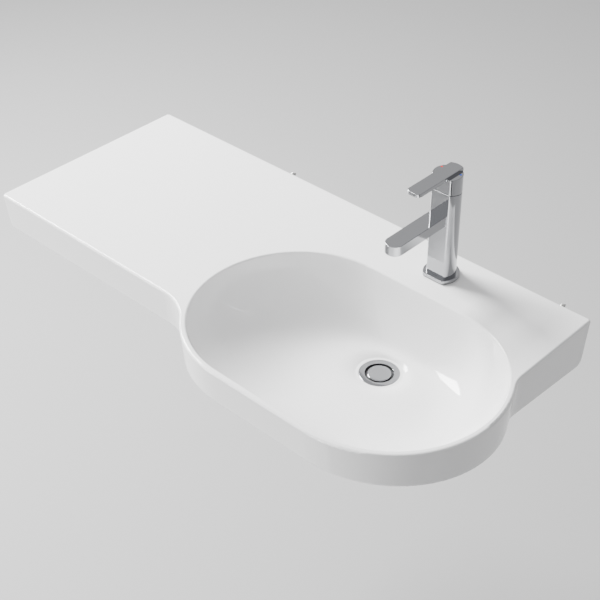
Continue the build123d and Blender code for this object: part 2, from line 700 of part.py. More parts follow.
with BuildPart() as tap_body:
    with BuildSketch(tap.offset(body_foot)):
        draw_flatted(0)
    extrude(amount=SEAM_AT_FRONT)
    fillet(tap_body.edges().filter_by(Axis.Z).sort_by(Axis.Y)[:2], TAP_EDGE)
    split(bisect_by=seam, keep=Keep.BOTTOM)
    add(spout.part)
    with BuildSketch(spigot_end):
        Circle(SPIGOT_RADIUS)
    extrude(amount=SPIGOT_BELOW_DECK + body_foot)
    with BuildSketch(seam.offset(-cavity_depth)):
        Circle(CARTRIDGE_RADIUS + FIT_GAP / 2)
    extrude(amount=cavity_depth, mode=Mode.SUBTRACT)
    with BuildSketch(seam.offset(-NECK_DEPTH - SPARE_THREAD)):
        Circle(RETAINER_RADIUS + THREAD_GAP)
    extrude(amount=NECK_DEPTH + SPARE_THREAD, mode=Mode.SUBTRACT)
    with BuildSketch(spigot_end):
        with Locations(*inlet_points):
            Circle(INLET_RADIUS)
    extrude(amount=INLET_DEPTH, mode=Mode.SUBTRACT)
    with BuildSketch(spigot_end):
        with Locations(*inlet_points):
            Circle(PORT_RADIUS)
    extrude(amount=supply_ports[0].Z + SPIGOT_BELOW_DECK + PORT_SEAL_THICKNESS, mode=Mode.SUBTRACT)
    with BuildSketch(tap.offset(channel_floor)):
        with Locations(outlet_point):
            Circle(PORT_RADIUS)
    extrude(amount=supply_ports[2].Z - channel_floor + PORT_SEAL_THICKNESS, mode=Mode.SUBTRACT)
    with BuildSketch(tap.offset(channel_floor)):
        with Locations((0, (outlet_point[1] - spout_end) / 2)):
            SlotCenterToCenter(spout_end + outlet_point[1], CHANNEL_WIDTH, rotation=90)
    extrude(amount=CHANNEL_HEIGHT, mode=Mode.SUBTRACT)
    with BuildSketch(tap.offset(spout_under)):
        with Locations((0, -spout_end)):
            Circle(AERATOR_RADIUS + THREAD_GAP)
    extrude(amount=aerator_recess, mode=Mode.SUBTRACT)
    with BuildSketch(tap.offset(spout_under)):
        with Locations((0, -spout_end)):
            Circle(CHANNEL_WIDTH / 2)
    extrude(amount=CHANNEL_RISE, mode=Mode.SUBTRACT)
    with BuildSketch(spigot_end):
        with Locations((0, -STUD_FORWARD)):
            Circle(STUD_RADIUS + THREAD_GAP)
    extrude(amount=STUD_IN_BODY, mode=Mode.SUBTRACT)
tap_body.part.label = "tap_body"

# Spout outlet
with BuildPart() as aerator_housing:
    for inner, height in ((aerator_bore, AERATOR_HEIGHT), (aerator_bore - AERATOR_LIP, AERATOR_LIP_HEIGHT)):
        with BuildSketch(aerator_low):
            with Locations((0, -spout_end)):
                draw_ring(inner, AERATOR_RADIUS)
        extrude(amount=height)
aerator_housing.part.label = "aerator_housing"

with BuildPart() as aerator_insert:
    with BuildSketch(aerator_low.offset(AERATOR_LIP_HEIGHT)):
        with Locations((0, -spout_end)):
            Circle(aerator_bore - THREAD_GAP)
            for ring in range(1, AERATOR_RINGS + 1):
                with PolarLocations(AERATOR_RING_STEP * ring, AERATOR_JETS * ring):
                    RegularPolygon(AERATOR_JET, 6, mode=Mode.SUBTRACT)
    extrude(amount=AERATOR_INSERT)
aerator_insert.part.label = "aerator_insert"

with BuildPart() as aerator_seal:
    with BuildSketch(aerator_low.offset(AERATOR_HEIGHT)):
        with Locations((0, -spout_end)):
            draw_ring(aerator_bore, AERATOR_SEAL_RADIUS)
    extrude(amount=AERATOR_SEAL)
aerator_seal.part.label = "aerator_seal"

# Mixer's clamp under the deck
under_deck = tap.offset(-DECK_THICKNESS)
with BuildPart() as horseshoe_rubber:
    with BuildSketch(under_deck):
        draw_horseshoe()
    extrude(amount=-HORSESHOE_RUBBER)
horseshoe_rubber.part.label = "horseshoe_rubber"

with BuildPart() as horseshoe_plate:
    with BuildSketch(under_deck.offset(-HORSESHOE_RUBBER)):
        draw_horseshoe()
    extrude(amount=-HORSESHOE_PLATE)
horseshoe_plate.part.label = "horseshoe_plate"

with BuildPart() as tap_stud_nut:
    with BuildSketch(under_deck.offset(-HORSESHOE_RUBBER - HORSESHOE_PLATE)):
        with Locations((0, -STUD_FORWARD)):
            RegularPolygon(STUD_NUT_FLATS / 2, 6, major_radius=False)
            Circle(STUD_RADIUS + THREAD_GAP, mode=Mode.SUBTRACT)
    extrude(amount=-STUD_NUT_HEIGHT)
tap_stud_nut.part.label = "tap_stud_nut"

with BuildPart() as tap_stud:
    with BuildSketch(spigot_end.offset(STUD_IN_BODY)):
        with Locations((0, -STUD_FORWARD)):
            Circle(STUD_RADIUS)
    extrude(amount=-stud_length)
    chamfer(tap_stud.edges().filter_by(GeomType.CIRCLE), BOLT_CHAMFER)
tap_stud.part.label = "tap_stud"

# Cartridge
with BuildPart() as cartridge_base:
    with BuildSketch(seam.offset(-CARTRIDGE_DEPTH)):
        Circle(CARTRIDGE_RADIUS)
    extrude(amount=CARTRIDGE_BASE)
    with BuildSketch(seam.offset(CARTRIDGE_BASE - CARTRIDGE_DEPTH)):
        Circle(CARTRIDGE_BORE - RUN_GAP)
    extrude(amount=base_spigot)
    with BuildSketch(seam.offset(-CARTRIDGE_DEPTH)):
        with Locations(*floor_ports):
            Circle(PORT_SEAL_RADIUS + THREAD_GAP)
    extrude(amount=PORT_SEAL_SUNK, mode=Mode.SUBTRACT)
    with BuildSketch(seam.offset(-CARTRIDGE_DEPTH)):
        with Locations(*floor_ports):
            Circle(PORT_RADIUS)
    extrude(amount=CARTRIDGE_BASE, mode=Mode.SUBTRACT)
    with BuildSketch(seam.offset(CARTRIDGE_BASE - CARTRIDGE_DEPTH)):
        for near, far in zip(disc_ports, floor_ports):
            SlotCenterPoint(((near[0] + far[0]) / 2, (near[1] + far[1]) / 2), far, 2 * DISC_PORT_RADIUS)
        with Locations(floor_ports[2]):
            Circle(DISC_OUTLET_RADIUS)
    extrude(amount=base_spigot, mode=Mode.SUBTRACT)
cartridge_base.part.label = "cartridge_base"

with BuildPart() as cartridge_base_seals:
    with BuildSketch(seam.offset(-cavity_depth)):
        with Locations(*floor_ports):
            Circle(PORT_SEAL_RADIUS)
            Circle(PORT_RADIUS, mode=Mode.SUBTRACT)
    extrude(amount=PORT_SEAL_THICKNESS)
cartridge_base_seals.part.label = "cartridge_base_seals"

with BuildPart() as cartridge_housing:
    with BuildSketch(side_view(seam)):
        Polygon(
            (CARTRIDGE_BORE, CARTRIDGE_BASE - CARTRIDGE_DEPTH),
            (CARTRIDGE_RADIUS, CARTRIDGE_BASE - CARTRIDGE_DEPTH),
            (CARTRIDGE_RADIUS, -NECK_DEPTH),
            (NECK_RADIUS, -NECK_DEPTH),
            (NECK_RADIUS, NECK_RISE),
            (LIP_RADIUS, NECK_RISE),
            (LIP_RADIUS, -LIP_DEPTH),
            (CARTRIDGE_BORE, -LIP_DEPTH),
            align=None,
        )
    revolve(axis=upright_axis(seam))
cartridge_housing.part.label = "cartridge_housing"

with BuildPart() as cartridge_nut:
    with BuildSketch(seam.offset(-RETAINER_TOP)):
        draw_ring(NECK_RADIUS + THREAD_GAP, RETAINER_RADIUS)
    extrude(amount=RETAINER_TOP - NECK_DEPTH)
    with BuildSketch(seam.offset(-RETAINER_TOP)):
        Rectangle(2 * RETAINER_RADIUS, RETAINER_NOTCH)
        Rectangle(RETAINER_NOTCH, 2 * RETAINER_RADIUS)
    extrude(amount=-RETAINER_NOTCH_DEPTH, mode=Mode.SUBTRACT)
cartridge_nut.part.label = "cartridge_nut"

with BuildPart() as cartridge_fixed_disc:
    with BuildSketch(seam.offset(-CARTRIDGE_FLOOR)):
        Circle(FIXED_DISC_RADIUS)
        with Locations(*disc_ports):
            Circle(DISC_PORT_RADIUS, mode=Mode.SUBTRACT)
        with Locations(floor_ports[2]):
            Circle(DISC_OUTLET_RADIUS, mode=Mode.SUBTRACT)
    extrude(amount=FIXED_DISC)
cartridge_fixed_disc.part.label = "cartridge_fixed_disc"

with BuildPart() as cartridge_moving_disc:
    with BuildSketch(seam.offset(-disc_bottom)):
        with Locations((0, disc_start)):
            Circle(disc_radius)
    extrude(amount=MOVING_DISC)
    with BuildSketch(seam.offset(-disc_bottom)):
        with Locations((0, disc_start)):
            Circle(CHAMBER_RADIUS)
        with Locations((0, disc_start + CHAMBER_FRONT)):
            Rectangle(
                2 * CHAMBER_RADIUS,
                2 * CHAMBER_RADIUS,
                align=(Align.CENTER, Align.MIN),
                mode=Mode.INTERSECT,
            )
        with Locations((0, disc_start - CHAMBER_NECK_REACH)):
            Rectangle(CHAMBER_NECK, CHAMBER_NECK_REACH + CHAMBER_FRONT, align=(Align.CENTER, Align.MIN))
    extrude(amount=CHAMBER_DEPTH, mode=Mode.SUBTRACT)
cartridge_moving_disc.part.label = "cartridge_moving_disc"

with BuildPart() as cartridge_carrier:
    with BuildSketch(seam.offset(-disc_top)):
        with Locations((0, disc_start)):
            Circle(disc_radius)
        Rectangle(SLOT_WIDTH, CARRIER_SLOT, mode=Mode.SUBTRACT)
    extrude(amount=CARRIER_HEIGHT)
cartridge_carrier.part.label = "cartridge_carrier"

with BuildPart() as cartridge_turret:
    with BuildSketch(side_view(seam)):
        Polygon(
            (0, -TURRET_DEPTH),
            (CARTRIDGE_BORE - RUN_GAP, -TURRET_DEPTH),
            (CARTRIDGE_BORE - RUN_GAP, -LIP_DEPTH - MOVE_GAP),
            (LIP_RADIUS - RUN_GAP, -LIP_DEPTH - MOVE_GAP),
            (LIP_RADIUS - RUN_GAP, bridge_low),
            (0, bridge_low),
            align=None,
        )
    revolve(axis=upright_axis(seam))
    with BuildSketch(seam.offset(BRIDGE_TOP)):
        with Locations((0, -TURRET_SLOT_FRONT)):
            Rectangle(SLOT_WIDTH, turret_slot, align=(Align.CENTER, Align.MIN))
    extrude(amount=-BRIDGE_TOP - TURRET_DEPTH, mode=Mode.SUBTRACT)
    with BuildSketch(seam_side):
        with Locations((BRIDGE_FRONT, bridge_low)):
            Rectangle(
                PIVOT_BACK + LUG_RADIUS - BRIDGE_FRONT,
                BRIDGE_TOP - bridge_low,
                align=(Align.MIN, Align.MIN),
            )
        with Locations((PIVOT_BACK, bridge_low)):
            Rectangle(2 * LUG_RADIUS, PIVOT_RISE - bridge_low, align=(Align.CENTER, Align.MIN))
        with Locations((PIVOT_BACK, PIVOT_RISE)):
            Circle(LUG_RADIUS)
            Circle(PIN_RADIUS + RUN_GAP, mode=Mode.SUBTRACT)
    extrude(amount=LUG_WIDTH / 2, both=True)
cartridge_turret.part.label = "cartridge_turret"

with BuildPart() as lever_pivot_pin:
    with BuildSketch(seam_side):
        with Locations((PIVOT_BACK, PIVOT_RISE)):
            Circle(PIN_RADIUS)
    extrude(amount=PIN_LENGTH / 2, both=True)
lever_pivot_pin.part.label = "lever_pivot_pin"

with BuildPart() as lever_stem:
    with BuildSketch(seam_side):
        with Locations((-STEM_BLOCK_FRONT, STEM_BLOCK_BOTTOM)):
            Rectangle(
                STEM_BLOCK_FRONT + PIVOT_BACK,
                STEM_BLOCK_TOP - STEM_BLOCK_BOTTOM,
                align=(Align.MIN, Align.MIN),
            )
        with Locations((PIVOT_BACK, PIVOT_RISE)):
            Circle(CHEEK_RADIUS)
            Circle(PIN_RADIUS + RUN_GAP, mode=Mode.SUBTRACT)
    extrude(amount=stem_half + CHEEK_WIDTH, both=True)
    with BuildSketch(seam_side):
        with Locations((PIVOT_BACK - SLOT_FRONT, PIVOT_RISE)):
            Rectangle(STEM_SQUARE, 2 * STEM_SQUARE, align=(Align.MIN, Align.CENTER))
    extrude(amount=stem_half, both=True, mode=Mode.SUBTRACT)
    with BuildSketch(seam.offset(STEM_BLOCK_TOP)):
        Rectangle(STEM_SQUARE, STEM_SQUARE)
    extrude(amount=STEM_TOP - STEM_BLOCK_TOP)
    with BuildSketch(seam.offset(-TONGUE_BOTTOM)):
        Circle(TONGUE_RADIUS)
    extrude(amount=TONGUE_BOTTOM + STEM_BLOCK_BOTTOM)
lever_stem.part.label = "lever_stem"

with BuildPart() as seam_slip_ring:
    with BuildSketch(seam):
        with Locations((0, -cartridge_back)):
            draw_flatted(SLIP_RING_INSET)
        Circle(RETAINER_RADIUS + THREAD_GAP, mode=Mode.SUBTRACT)
    extrude(amount=SLIP_RING)
seam_slip_ring.part.label = "seam_slip_ring"

# Lever
with BuildPart() as lever_bar:
    with BuildSketch(tap.offset(BAR_TOP)) as bar_outline:
        Circle(BAR_REAR_RADIUS)
        Rectangle(BAR_WIDTH, 2 * BAR_REAR_RADIUS, mode=Mode.INTERSECT)
        Rectangle(BAR_WIDTH, BAR_REACH, align=(Align.CENTER, Align.MAX))
        fillet(bar_outline.vertices().sort_by(Axis.Y)[:2], BAR_CORNER)
    extrude(amount=-BAR_THICKNESS)
    chamfer(lever_bar.edges().filter_by(Plane.XY), LEVER_CHAMFER)

with BuildPart() as lever_handle:
    with BuildSketch(tap.offset(SHOULDER_HEIGHT)):
        draw_flatted(0)
    extrude(amount=seam_rise - SHOULDER_HEIGHT - TAP_RADIUS)
    fillet(lever_handle.edges().filter_by(Axis.Z).sort_by(Axis.Y)[:2], TAP_EDGE)
    split(bisect_by=seam.offset(handle_low), keep=Keep.TOP)
    chamfer(lever_handle.faces().sort_by(Axis.Z)[-1].edges(), LEVER_CHAMFER)
    add(lever_bar.part)
    with BuildSketch(seam):
        with Locations((0, -cartridge_back)):
            draw_flatted(HEAD_WALL)
    extrude(amount=HEAD_HOLLOW, mode=Mode.SUBTRACT)
    with BuildSketch(seam_side):
        with BuildLine():
            Polyline(
                relief_start,
                (relief_start[0] + TAP_RADIUS, handle_low),
                (relief_start[0] + TAP_RADIUS, handle_low + TAP_RADIUS * tan(relief_angle)),
                close=True,
            )
        make_face()
    extrude(amount=TAP_RADIUS + OVERRUN, both=True, mode=Mode.SUBTRACT)
    with BuildSketch(seam.offset(HEAD_HOLLOW)):
        Rectangle(STEM_SQUARE + 2 * SOCKET_GAP, STEM_SQUARE + 2 * SOCKET_GAP)
    extrude(amount=STEM_TOP + MOVE_GAP - HEAD_HOLLOW, mode=Mode.SUBTRACT)
    with BuildSketch(grub.offset(GRUB_LENGTH)):
        Circle(GRUB_RADIUS + THREAD_GAP)
    extrude(amount=-TAP_RADIUS, mode=Mode.SUBTRACT)
    with BuildSketch(tap.offset(SHOULDER_HEIGHT)):
        with Locations((-DOT_SIDE, DOT_BACK), (DOT_SIDE, DOT_BACK)):
            Circle(DOT_RADIUS + THREAD_GAP)
    extrude(amount=-DOT_SUNK, mode=Mode.SUBTRACT)
lever_handle.part.label = "lever_handle"

with BuildPart() as lever_grub_screw:
    with BuildSketch(grub):
        Circle(GRUB_RADIUS)
    extrude(amount=GRUB_LENGTH)
    with BuildSketch(grub):
        RegularPolygon(GRUB_KEY, 6)
    extrude(amount=GRUB_KEY_DEPTH, mode=Mode.SUBTRACT)
lever_grub_screw.part.label = "lever_grub_screw"

with BuildPart() as hot_dot:
    with BuildSketch(tap.offset(SHOULDER_HEIGHT - DOT_SUNK)):
        with Locations((-DOT_SIDE, DOT_BACK)):
            Circle(DOT_RADIUS)
    extrude(amount=DOT_SUNK + DOT_PROUD)
hot_dot.part.label = "hot_dot"

with BuildPart() as cold_dot:
    mirror(hot_dot.part, about=Plane.YZ)
cold_dot.part.label = "cold_dot"

pieces = [
    basin,
    wall_hanger_bolts,
    wall_bolt_sleeves,
    wall_bolt_washers,
    wall_bolt_nuts,
    waste_body,
    waste_top_seal,
    waste_bottom_seal,
    waste_slip_washer,
    waste_backnut,
    plug_cap,
    plug_seal,
    plug_stem,
    click_ring,
    click_housing,
    plug_spring,
    tap_base_gasket,
    tap_foot_ring,
    tap_body,
    aerator_housing,
    aerator_insert,
    aerator_seal,
    horseshoe_rubber,
    horseshoe_plate,
    tap_stud_nut,
    tap_stud,
    cartridge_base,
    cartridge_base_seals,
    cartridge_housing,
    cartridge_nut,
    cartridge_fixed_disc,
    cartridge_moving_disc,
    cartridge_carrier,
    cartridge_turret,
    lever_pivot_pin,
    lever_stem,
    seam_slip_ring,
    lever_handle,
    lever_grub_screw,
    hot_dot,
    cold_dot,
]
os.makedirs("parts", exist_ok=True)
for piece in pieces:
    export_step(piece.part, f"parts/{piece.part.label}.step")
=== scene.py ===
"""Wall-hung basin with a shelf, a single-lever mixer and a press-to-open waste, dressed and lit."""

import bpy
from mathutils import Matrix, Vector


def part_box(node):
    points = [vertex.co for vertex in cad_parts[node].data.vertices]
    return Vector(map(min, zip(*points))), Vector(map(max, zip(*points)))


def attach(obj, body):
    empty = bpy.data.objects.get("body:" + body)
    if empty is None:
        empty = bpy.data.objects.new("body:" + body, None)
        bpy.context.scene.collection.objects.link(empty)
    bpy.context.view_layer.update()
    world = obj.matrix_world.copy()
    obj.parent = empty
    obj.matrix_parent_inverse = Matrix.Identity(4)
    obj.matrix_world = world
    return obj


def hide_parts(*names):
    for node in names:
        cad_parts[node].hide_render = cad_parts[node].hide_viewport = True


bl_info = {
    "name": "Wall-hung basin with mixer",
    "version": (1, 0, 0),
    "blender": (4, 5, 0),
    "location": "View3D > Sidebar > Basin",
    "description": "Models the mixer and waste of the packed basin, gives it its finishes and lights it",
    "category": "Object",
}

from math import atan2, cos, pi, radians, sin, sqrt, tan

import bmesh
import bpy
from bpy.props import FloatProperty, FloatVectorProperty, PointerProperty
from bpy.types import Operator, Panel, PropertyGroup
from mathutils import Matrix, Vector

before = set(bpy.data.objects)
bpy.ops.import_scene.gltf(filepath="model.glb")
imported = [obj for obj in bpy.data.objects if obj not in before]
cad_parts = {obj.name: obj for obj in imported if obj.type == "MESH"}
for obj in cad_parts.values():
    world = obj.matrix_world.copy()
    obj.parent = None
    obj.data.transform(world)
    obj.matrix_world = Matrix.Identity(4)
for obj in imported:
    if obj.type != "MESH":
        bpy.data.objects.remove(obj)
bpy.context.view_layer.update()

MM = 0.001
TINY = 1e-5
OVERRUN = MM  # how far a cutting shape runs past what it cuts
FINE_STEPS = 64  # facets round the mixer's bores

# Waste and plug
RIM_TURNS = tuple(radians(turn) for turn in (0, 22, 45, 68, 90))
LIP_DEPTH = 0.7 * MM
LIP_BREAK = 0.2 * MM
WELL_CORNER = 0.4 * MM
BORE_CHAMFER = 0.5 * MM
TAIL_CHAMFER = 0.8 * MM
GROOVE_BELOW_NUT = 2 * MM
GROOVE_HEIGHT = 3 * MM
GROOVE_DEPTH = 0.9 * MM
THROAT_EDGE = 0.3 * MM
SPIDER_HEIGHT = 8 * MM
SPIDER_ARM = 3 * MM
SPIDER_ROOT = 1.5 * MM  # how far the arms run into the tail's wall
SPIDER_HUB = 9 * MM
BARREL_HOLE = 6.05 * MM
STEM_HOLE = 3.05 * MM
STEM_HOLE_DEPTH = 2 * MM
CAP_CHAMFER = 0.4 * MM

# Mixer's foot and body
FOOT_EDGE_RATIO = 1.5  # foot's rounding over that of the other chrome edges
FOOT_GAP = 0.2 * MM
CUT_SPARE = 10 * MM  # how far body and head run past the seam before they are cut
SEAM_EDGE = 0.35 * MM
CHAMBER_RADIUS = 12.6 * MM
CHAMBER_DEPTH = 26.2 * MM
MOUTH_RADIUS = 13.15 * MM
MOUTH_DEPTH = 9 * MM
CHAMBER_RISE = 5 * MM  # how far the cutters stand above the seam
OUTLET_RADIUS = 11.05 * MM
OUTLET_DEPTH = 7.8 * MM
WATERWAY_RADIUS = 6 * MM
WATERWAY_LOW = 6 * MM
WATERWAY_HIGH = 9.2 * MM
INLET_RADIUS = 4.5 * MM
INLET_SIDE = 5.6 * MM
INLET_BACK = 3.7 * MM
INLET_FORWARD = 4.6 * MM  # what the seam's slope moves the inlets forward
SPIGOT_HOLE_DEPTH = 12 * MM
STUD_HOLE = 4.05 * MM
SPOUT_REAR_STEPS = 24
SPOUT_TIP_STEPS = 40

# Lever
HEAD_GAP = 0.8 * MM  # seam to the head's lower face
RELIEF_START = 10.5 * MM  # behind the cartridge's axis
BAR_HALF = 11.7 * MM
BAR_THICKNESS = 6 * MM
BAR_REAR_STEPS = 12
BAR_CORNER_STEPS = 10
HOLLOW_CORNER = MM
HOLLOW_BELOW = 12 * MM
HOLLOW_ABOVE = 30 * MM
SOCKET_HALF = 4.05 * MM
SOCKET_TOP = 20.3 * MM
SCREW_HOLE = 2.55 * MM
SCREW_HOLE_BEHIND = 5 * MM
SCREW_HOLE_AHEAD = 30 * MM
SCREW_BORE_SHADE = 2.6 * MM  # radius inside which the hole's faces get the black steel, as painted shade in the screw's bore
DOT_HOLE = 1.75 * MM

# Stage
SKY_DIRECTION = (-0.64, -0.30, 0.70)
SKY_DARK = (0.42, 0.42, 0.43, 1)
SKY_LIGHT = (1.0, 1.0, 1.0, 1)
KEY_PLACE = (-2.5, -0.2, 1.9)
KEY_AIM = (0.0, -0.2, 0.0)
KEY_SIZE = (1.3, 1.3)
FILL_PLACE = (-1.5, -2.3, -0.1)
FILL_AIM = (-0.3, -0.4, 0.03)
FILL_SIZE = (1.2, 0.7)
CARD_TURNS = (radians(22), radians(42))
CARD_REACH = 0.9  # from the mixer
CARD_START = -0.07
CARD_HEIGHT = -0.40
CARD_SIZE = (0.19, 0.50, 1)
CAMERA_PLACE = (0.94272, -1.35983, 1.20770)
CAMERA_ANGLES = (43.469, 36.913, 0.516)  # azimuth, elevation and roll in degrees
CAMERA_SENSOR = 36


def length(name, description, default):
    """A size in metres, shown in the scene's own unit."""
    return FloatProperty(name=name, description=description, default=default, unit="LENGTH", precision=5)


def colour(name, description, default):
    """A colour without alpha."""
    return FloatVectorProperty(
        name=name, description=description, default=default, size=3, min=0.0, max=1.0, subtype="COLOR"
    )


class MixerSizes(PropertyGroup):
    """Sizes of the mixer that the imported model's boxes don't give."""

    body_radius: length("Body radius", "Round part of the body", 22.2 * MM)
    body_flat: length("Body flat", "Axis to the flat front", 15.4 * MM)
    body_corner: length("Body corner", "Rounding where the flat meets the round", 3.0 * MM)
    foot_radius: length("Foot radius", "Round part of the foot ring", 27.6 * MM)
    foot_flat: length("Foot flat", "Axis to the foot's flat front", 21.8 * MM)
    foot_corner: length("Foot corner", "Rounding of the foot's upright corners", 1.0 * MM)
    spigot_radius: length("Spigot radius", "Part of the body that stands in the foot", 16.0 * MM)
    spout_width: length("Spout width", "Width of the spout", 28.0 * MM)
    spout_thickness: length("Spout thickness", "Height of the spout", 16.2 * MM)
    spout_top: length("Spout top", "Deck to the top of the spout", 115.0 * MM)
    bar_rear: length("Bar rear radius", "Radius of the lever bar's rear end", 23.4 * MM)
    bar_corner: length("Bar corner", "Rounding of the bar's front corners", 6.5 * MM)
    shoulder: length("Shoulder", "Deck to the top of the lever's head", 175.7 * MM)
    head_wall: length("Head wall", "Wall of the lever's head", 2.6 * MM)
    head_hollow: length("Head hollow", "Seam to the top of the head's hollow", 11.0 * MM)
    edge: length("Edge", "Rounding along the chrome edges", 0.7 * MM)
    seam_tilt: FloatProperty(
        name="Seam tilt", description="Fall of the seam to the wall", default=radians(10), subtype="ANGLE"
    )
    lift: FloatProperty(
        name="Lift", description="How far the lever lifts", default=radians(21.5), subtype="ANGLE"
    )


class WasteSizes(PropertyGroup):
    """Sizes of the waste and its plug."""

    opening: length("Opening", "Radius of the flange's opening", 21.8 * MM)
    throat: length("Throat", "Radius of the throat under the plug", 17.0 * MM)
    well: length("Well", "Depth of the ledge under the plug", 5.5 * MM)
    throat_depth: length("Throat depth", "Depth of the throat's lower end", 14.0 * MM)
    tail: length("Tail radius", "Outside of the threaded tail", 23.9 * MM)
    tail_bore: length("Tail bore", "Inside of the tail", 20.8 * MM)
    flange: length("Flange thickness", "Thickness of the flange", 2.6 * MM)
    edge: length("Edge", "Rounding of the flange's and plug's rims", 1.2 * MM)


class Finishes(PropertyGroup):
    """Colours of the finishes."""

    glaze: colour("Glaze", "White glaze", (0.93, 0.93, 0.928))
    chrome: colour("Chrome", "Bright chrome plate", (0.41, 0.415, 0.43))
    brass: colour("Brass", "Turned brass", (0.72, 0.52, 0.24))
    zinc: colour("Zinc", "Zinc-plated steel", (0.60, 0.60, 0.58))
    rubber: colour("Rubber", "Black rubber", (0.018, 0.018, 0.019))
    nylon: colour("Nylon", "White plastic", (0.78, 0.77, 0.73))
    acetal: colour("Acetal", "Grey plastic", (0.30, 0.31, 0.33))
    alumina: colour("Alumina", "Ceramic of the discs", (0.80, 0.76, 0.70))
    hot: colour("Hot dot", "Enamel of the left dot", (0.62, 0.02, 0.02))
    cold: colour("Cold dot", "Enamel of the right dot", (0.02, 0.08, 0.55))


class StageSettings(PropertyGroup):
    """Floor, light and camera."""

    hung: length("Hung height", "Floor to the wall fixings", 0.82)
    floor_colour: colour("Floor", "Colour of the floor", (0.40, 0.40, 0.40))
    world_light: FloatProperty(name="Sky", description="Strength of the soft surround", default=1.15, min=0.0)
    key_power: FloatProperty(
        name="Key", description="Strength of the main light", default=380.0, unit="POWER"
    )
    fill_power: FloatProperty(
        name="Fill", description="Strength of the low front light", default=60.0, unit="POWER"
    )
    lens: FloatProperty(name="Lens", description="Focal length of the camera", default=79.206, unit="CAMERA")


def object_mode():
    """Leaves edit mode."""
    if bpy.context.object and bpy.context.object.mode != "OBJECT":
        bpy.ops.object.mode_set(mode="OBJECT")


def only(piece):
    """Selects one object and nothing else."""
    object_mode()
    bpy.ops.object.select_all(action="DESELECT")
    piece.select_set(True)
    bpy.context.view_layer.objects.active = piece


def begin(name, add, **where):
    """Adds a primitive by itself, puts its place in its mesh and opens it in edit mode."""
    object_mode()
    bpy.ops.object.select_all(action="DESELECT")
    add(**where)
    piece = bpy.context.object
    piece.name = name
    piece.data.name = name
    bpy.ops.object.transform_apply(location=True, rotation=True, scale=True)
    bpy.ops.object.mode_set(mode="EDIT")
    bpy.ops.mesh.select_all(action="SELECT")
    return piece


def pick(kind, test):
    """Selects the vertices, edges or faces of the open mesh that pass a test."""
    bpy.ops.mesh.select_mode(type=kind)
    bpy.ops.mesh.select_all(action="DESELECT")
    mesh = bmesh.from_edit_mesh(bpy.context.object.data)
    parts = {"VERT": mesh.verts, "EDGE": mesh.edges, "FACE": mesh.faces}[kind]
    found = 0
    for part in parts:
        if test(part):
            part.select_set(True)
            found += 1
    bmesh.update_edit_mesh(bpy.context.object.data)
    if not found:
        raise RuntimeError(f"nothing to select on {bpy.context.object.name}")


def at_height(level):
    """Test for edges that lie at one height."""
    return lambda edge: all(abs(vertex.co.z - level) < TINY for vertex in edge.verts)


def on_plane(point, normal):
    """Test for edges that lie in a plane."""
    return lambda edge: all(abs((vertex.co - point).dot(normal)) < TINY for vertex in edge.verts)


def soften(test, width, segments=3):
    """Rounds the edges that pass a test."""
    pick("EDGE", test)
    bpy.ops.mesh.bevel(offset=width, segments=segments, profile=0.5, affect="EDGES")


def face_outwards():
    """Merges what lies double and turns every face outwards."""
    bpy.ops.mesh.select_all(action="SELECT")
    bpy.ops.mesh.remove_doubles(threshold=TINY / 10)
    bpy.ops.mesh.normals_make_consistent(inside=False)


def walled(name, start, moves, low, high):
    """Solid over an outline of runs (dx, dy) and arcs (centre x, centre y, angle, steps) from a start."""
    height = high - low
    begin(
        name,
        bpy.ops.mesh.primitive_plane_add,
        size=height,
        location=(start[0] + height / 2, start[1], (low + high) / 2),
        rotation=(pi / 2, 0, 0),
    )
    pick("VERT", lambda vertex: vertex.co.x > start[0] + height / 2)
    bpy.ops.mesh.delete(type="VERT")
    bpy.ops.mesh.select_all(action="SELECT")
    for move in moves:
        if len(move) == 2:
            bpy.ops.mesh.extrude_region_move(TRANSFORM_OT_translate={"value": (move[0], move[1], 0)})
        else:
            bpy.ops.mesh.spin(steps=move[3], angle=move[2], center=(move[0], move[1], 0), axis=(0, 0, -1))
    bpy.ops.mesh.select_all(action="SELECT")
    bpy.ops.mesh.remove_doubles(threshold=TINY)
    for level in (low, high):
        pick("EDGE", at_height(level))
        bpy.ops.mesh.edge_face_add()
    face_outwards()
    return bpy.context.object


def flatted(name, centre_y, radius, flat, corner, low, high, steps=72):
    """Upright round post with a flat front whose two upright edges are rounded."""
    side = sqrt((radius - corner) ** 2 - (flat - corner) ** 2)
    turn = atan2(side, flat - corner)
    corner_y = centre_y - flat + corner
    moves = (
        (side, corner_y, turn, 6),
        (0, centre_y, 2 * pi - 2 * turn, steps),
        (-side, corner_y, turn, 6),
        (2 * side, 0),
    )
    return walled(name, (side, centre_y - flat), moves, low, high)


def turned(name, centre, rings, steps=96):
    """Piece turned about an upright axis from (radius, height) pairs, closed on itself or filled."""
    radius, height = rings[0]
    begin(
        name,
        bpy.ops.mesh.primitive_circle_add,
        vertices=steps,
        radius=radius,
        location=(centre[0], centre[1], height),
    )
    for after_radius, after_height in rings[1:]:
        bpy.ops.mesh.extrude_region_move(TRANSFORM_OT_translate={"value": (0, 0, after_height - height)})
        if after_radius != radius:
            share = after_radius / radius
            middle = (centre[0], centre[1], after_height)
            bpy.ops.transform.resize(value=(share, share, 1), center_override=middle)
        radius, height = after_radius, after_height
    if rings[0] != rings[-1]:
        bpy.ops.mesh.edge_face_add()
        first = rings[0]
        pick("EDGE", lambda edge: all(
            abs(vertex.co.z - first[1]) < TINY
            and abs(Vector((vertex.co.x - centre[0], vertex.co.y - centre[1])).length - first[0]) < TINY
            for vertex in edge.verts
        ))
        bpy.ops.mesh.edge_face_add()
    face_outwards()
    return bpy.context.object


def post(name, centre, radius, low, high, steps=48):
    """Plain turned post, used to cut or join."""
    return turned(name, centre, ((radius, low), (radius, high)), steps)


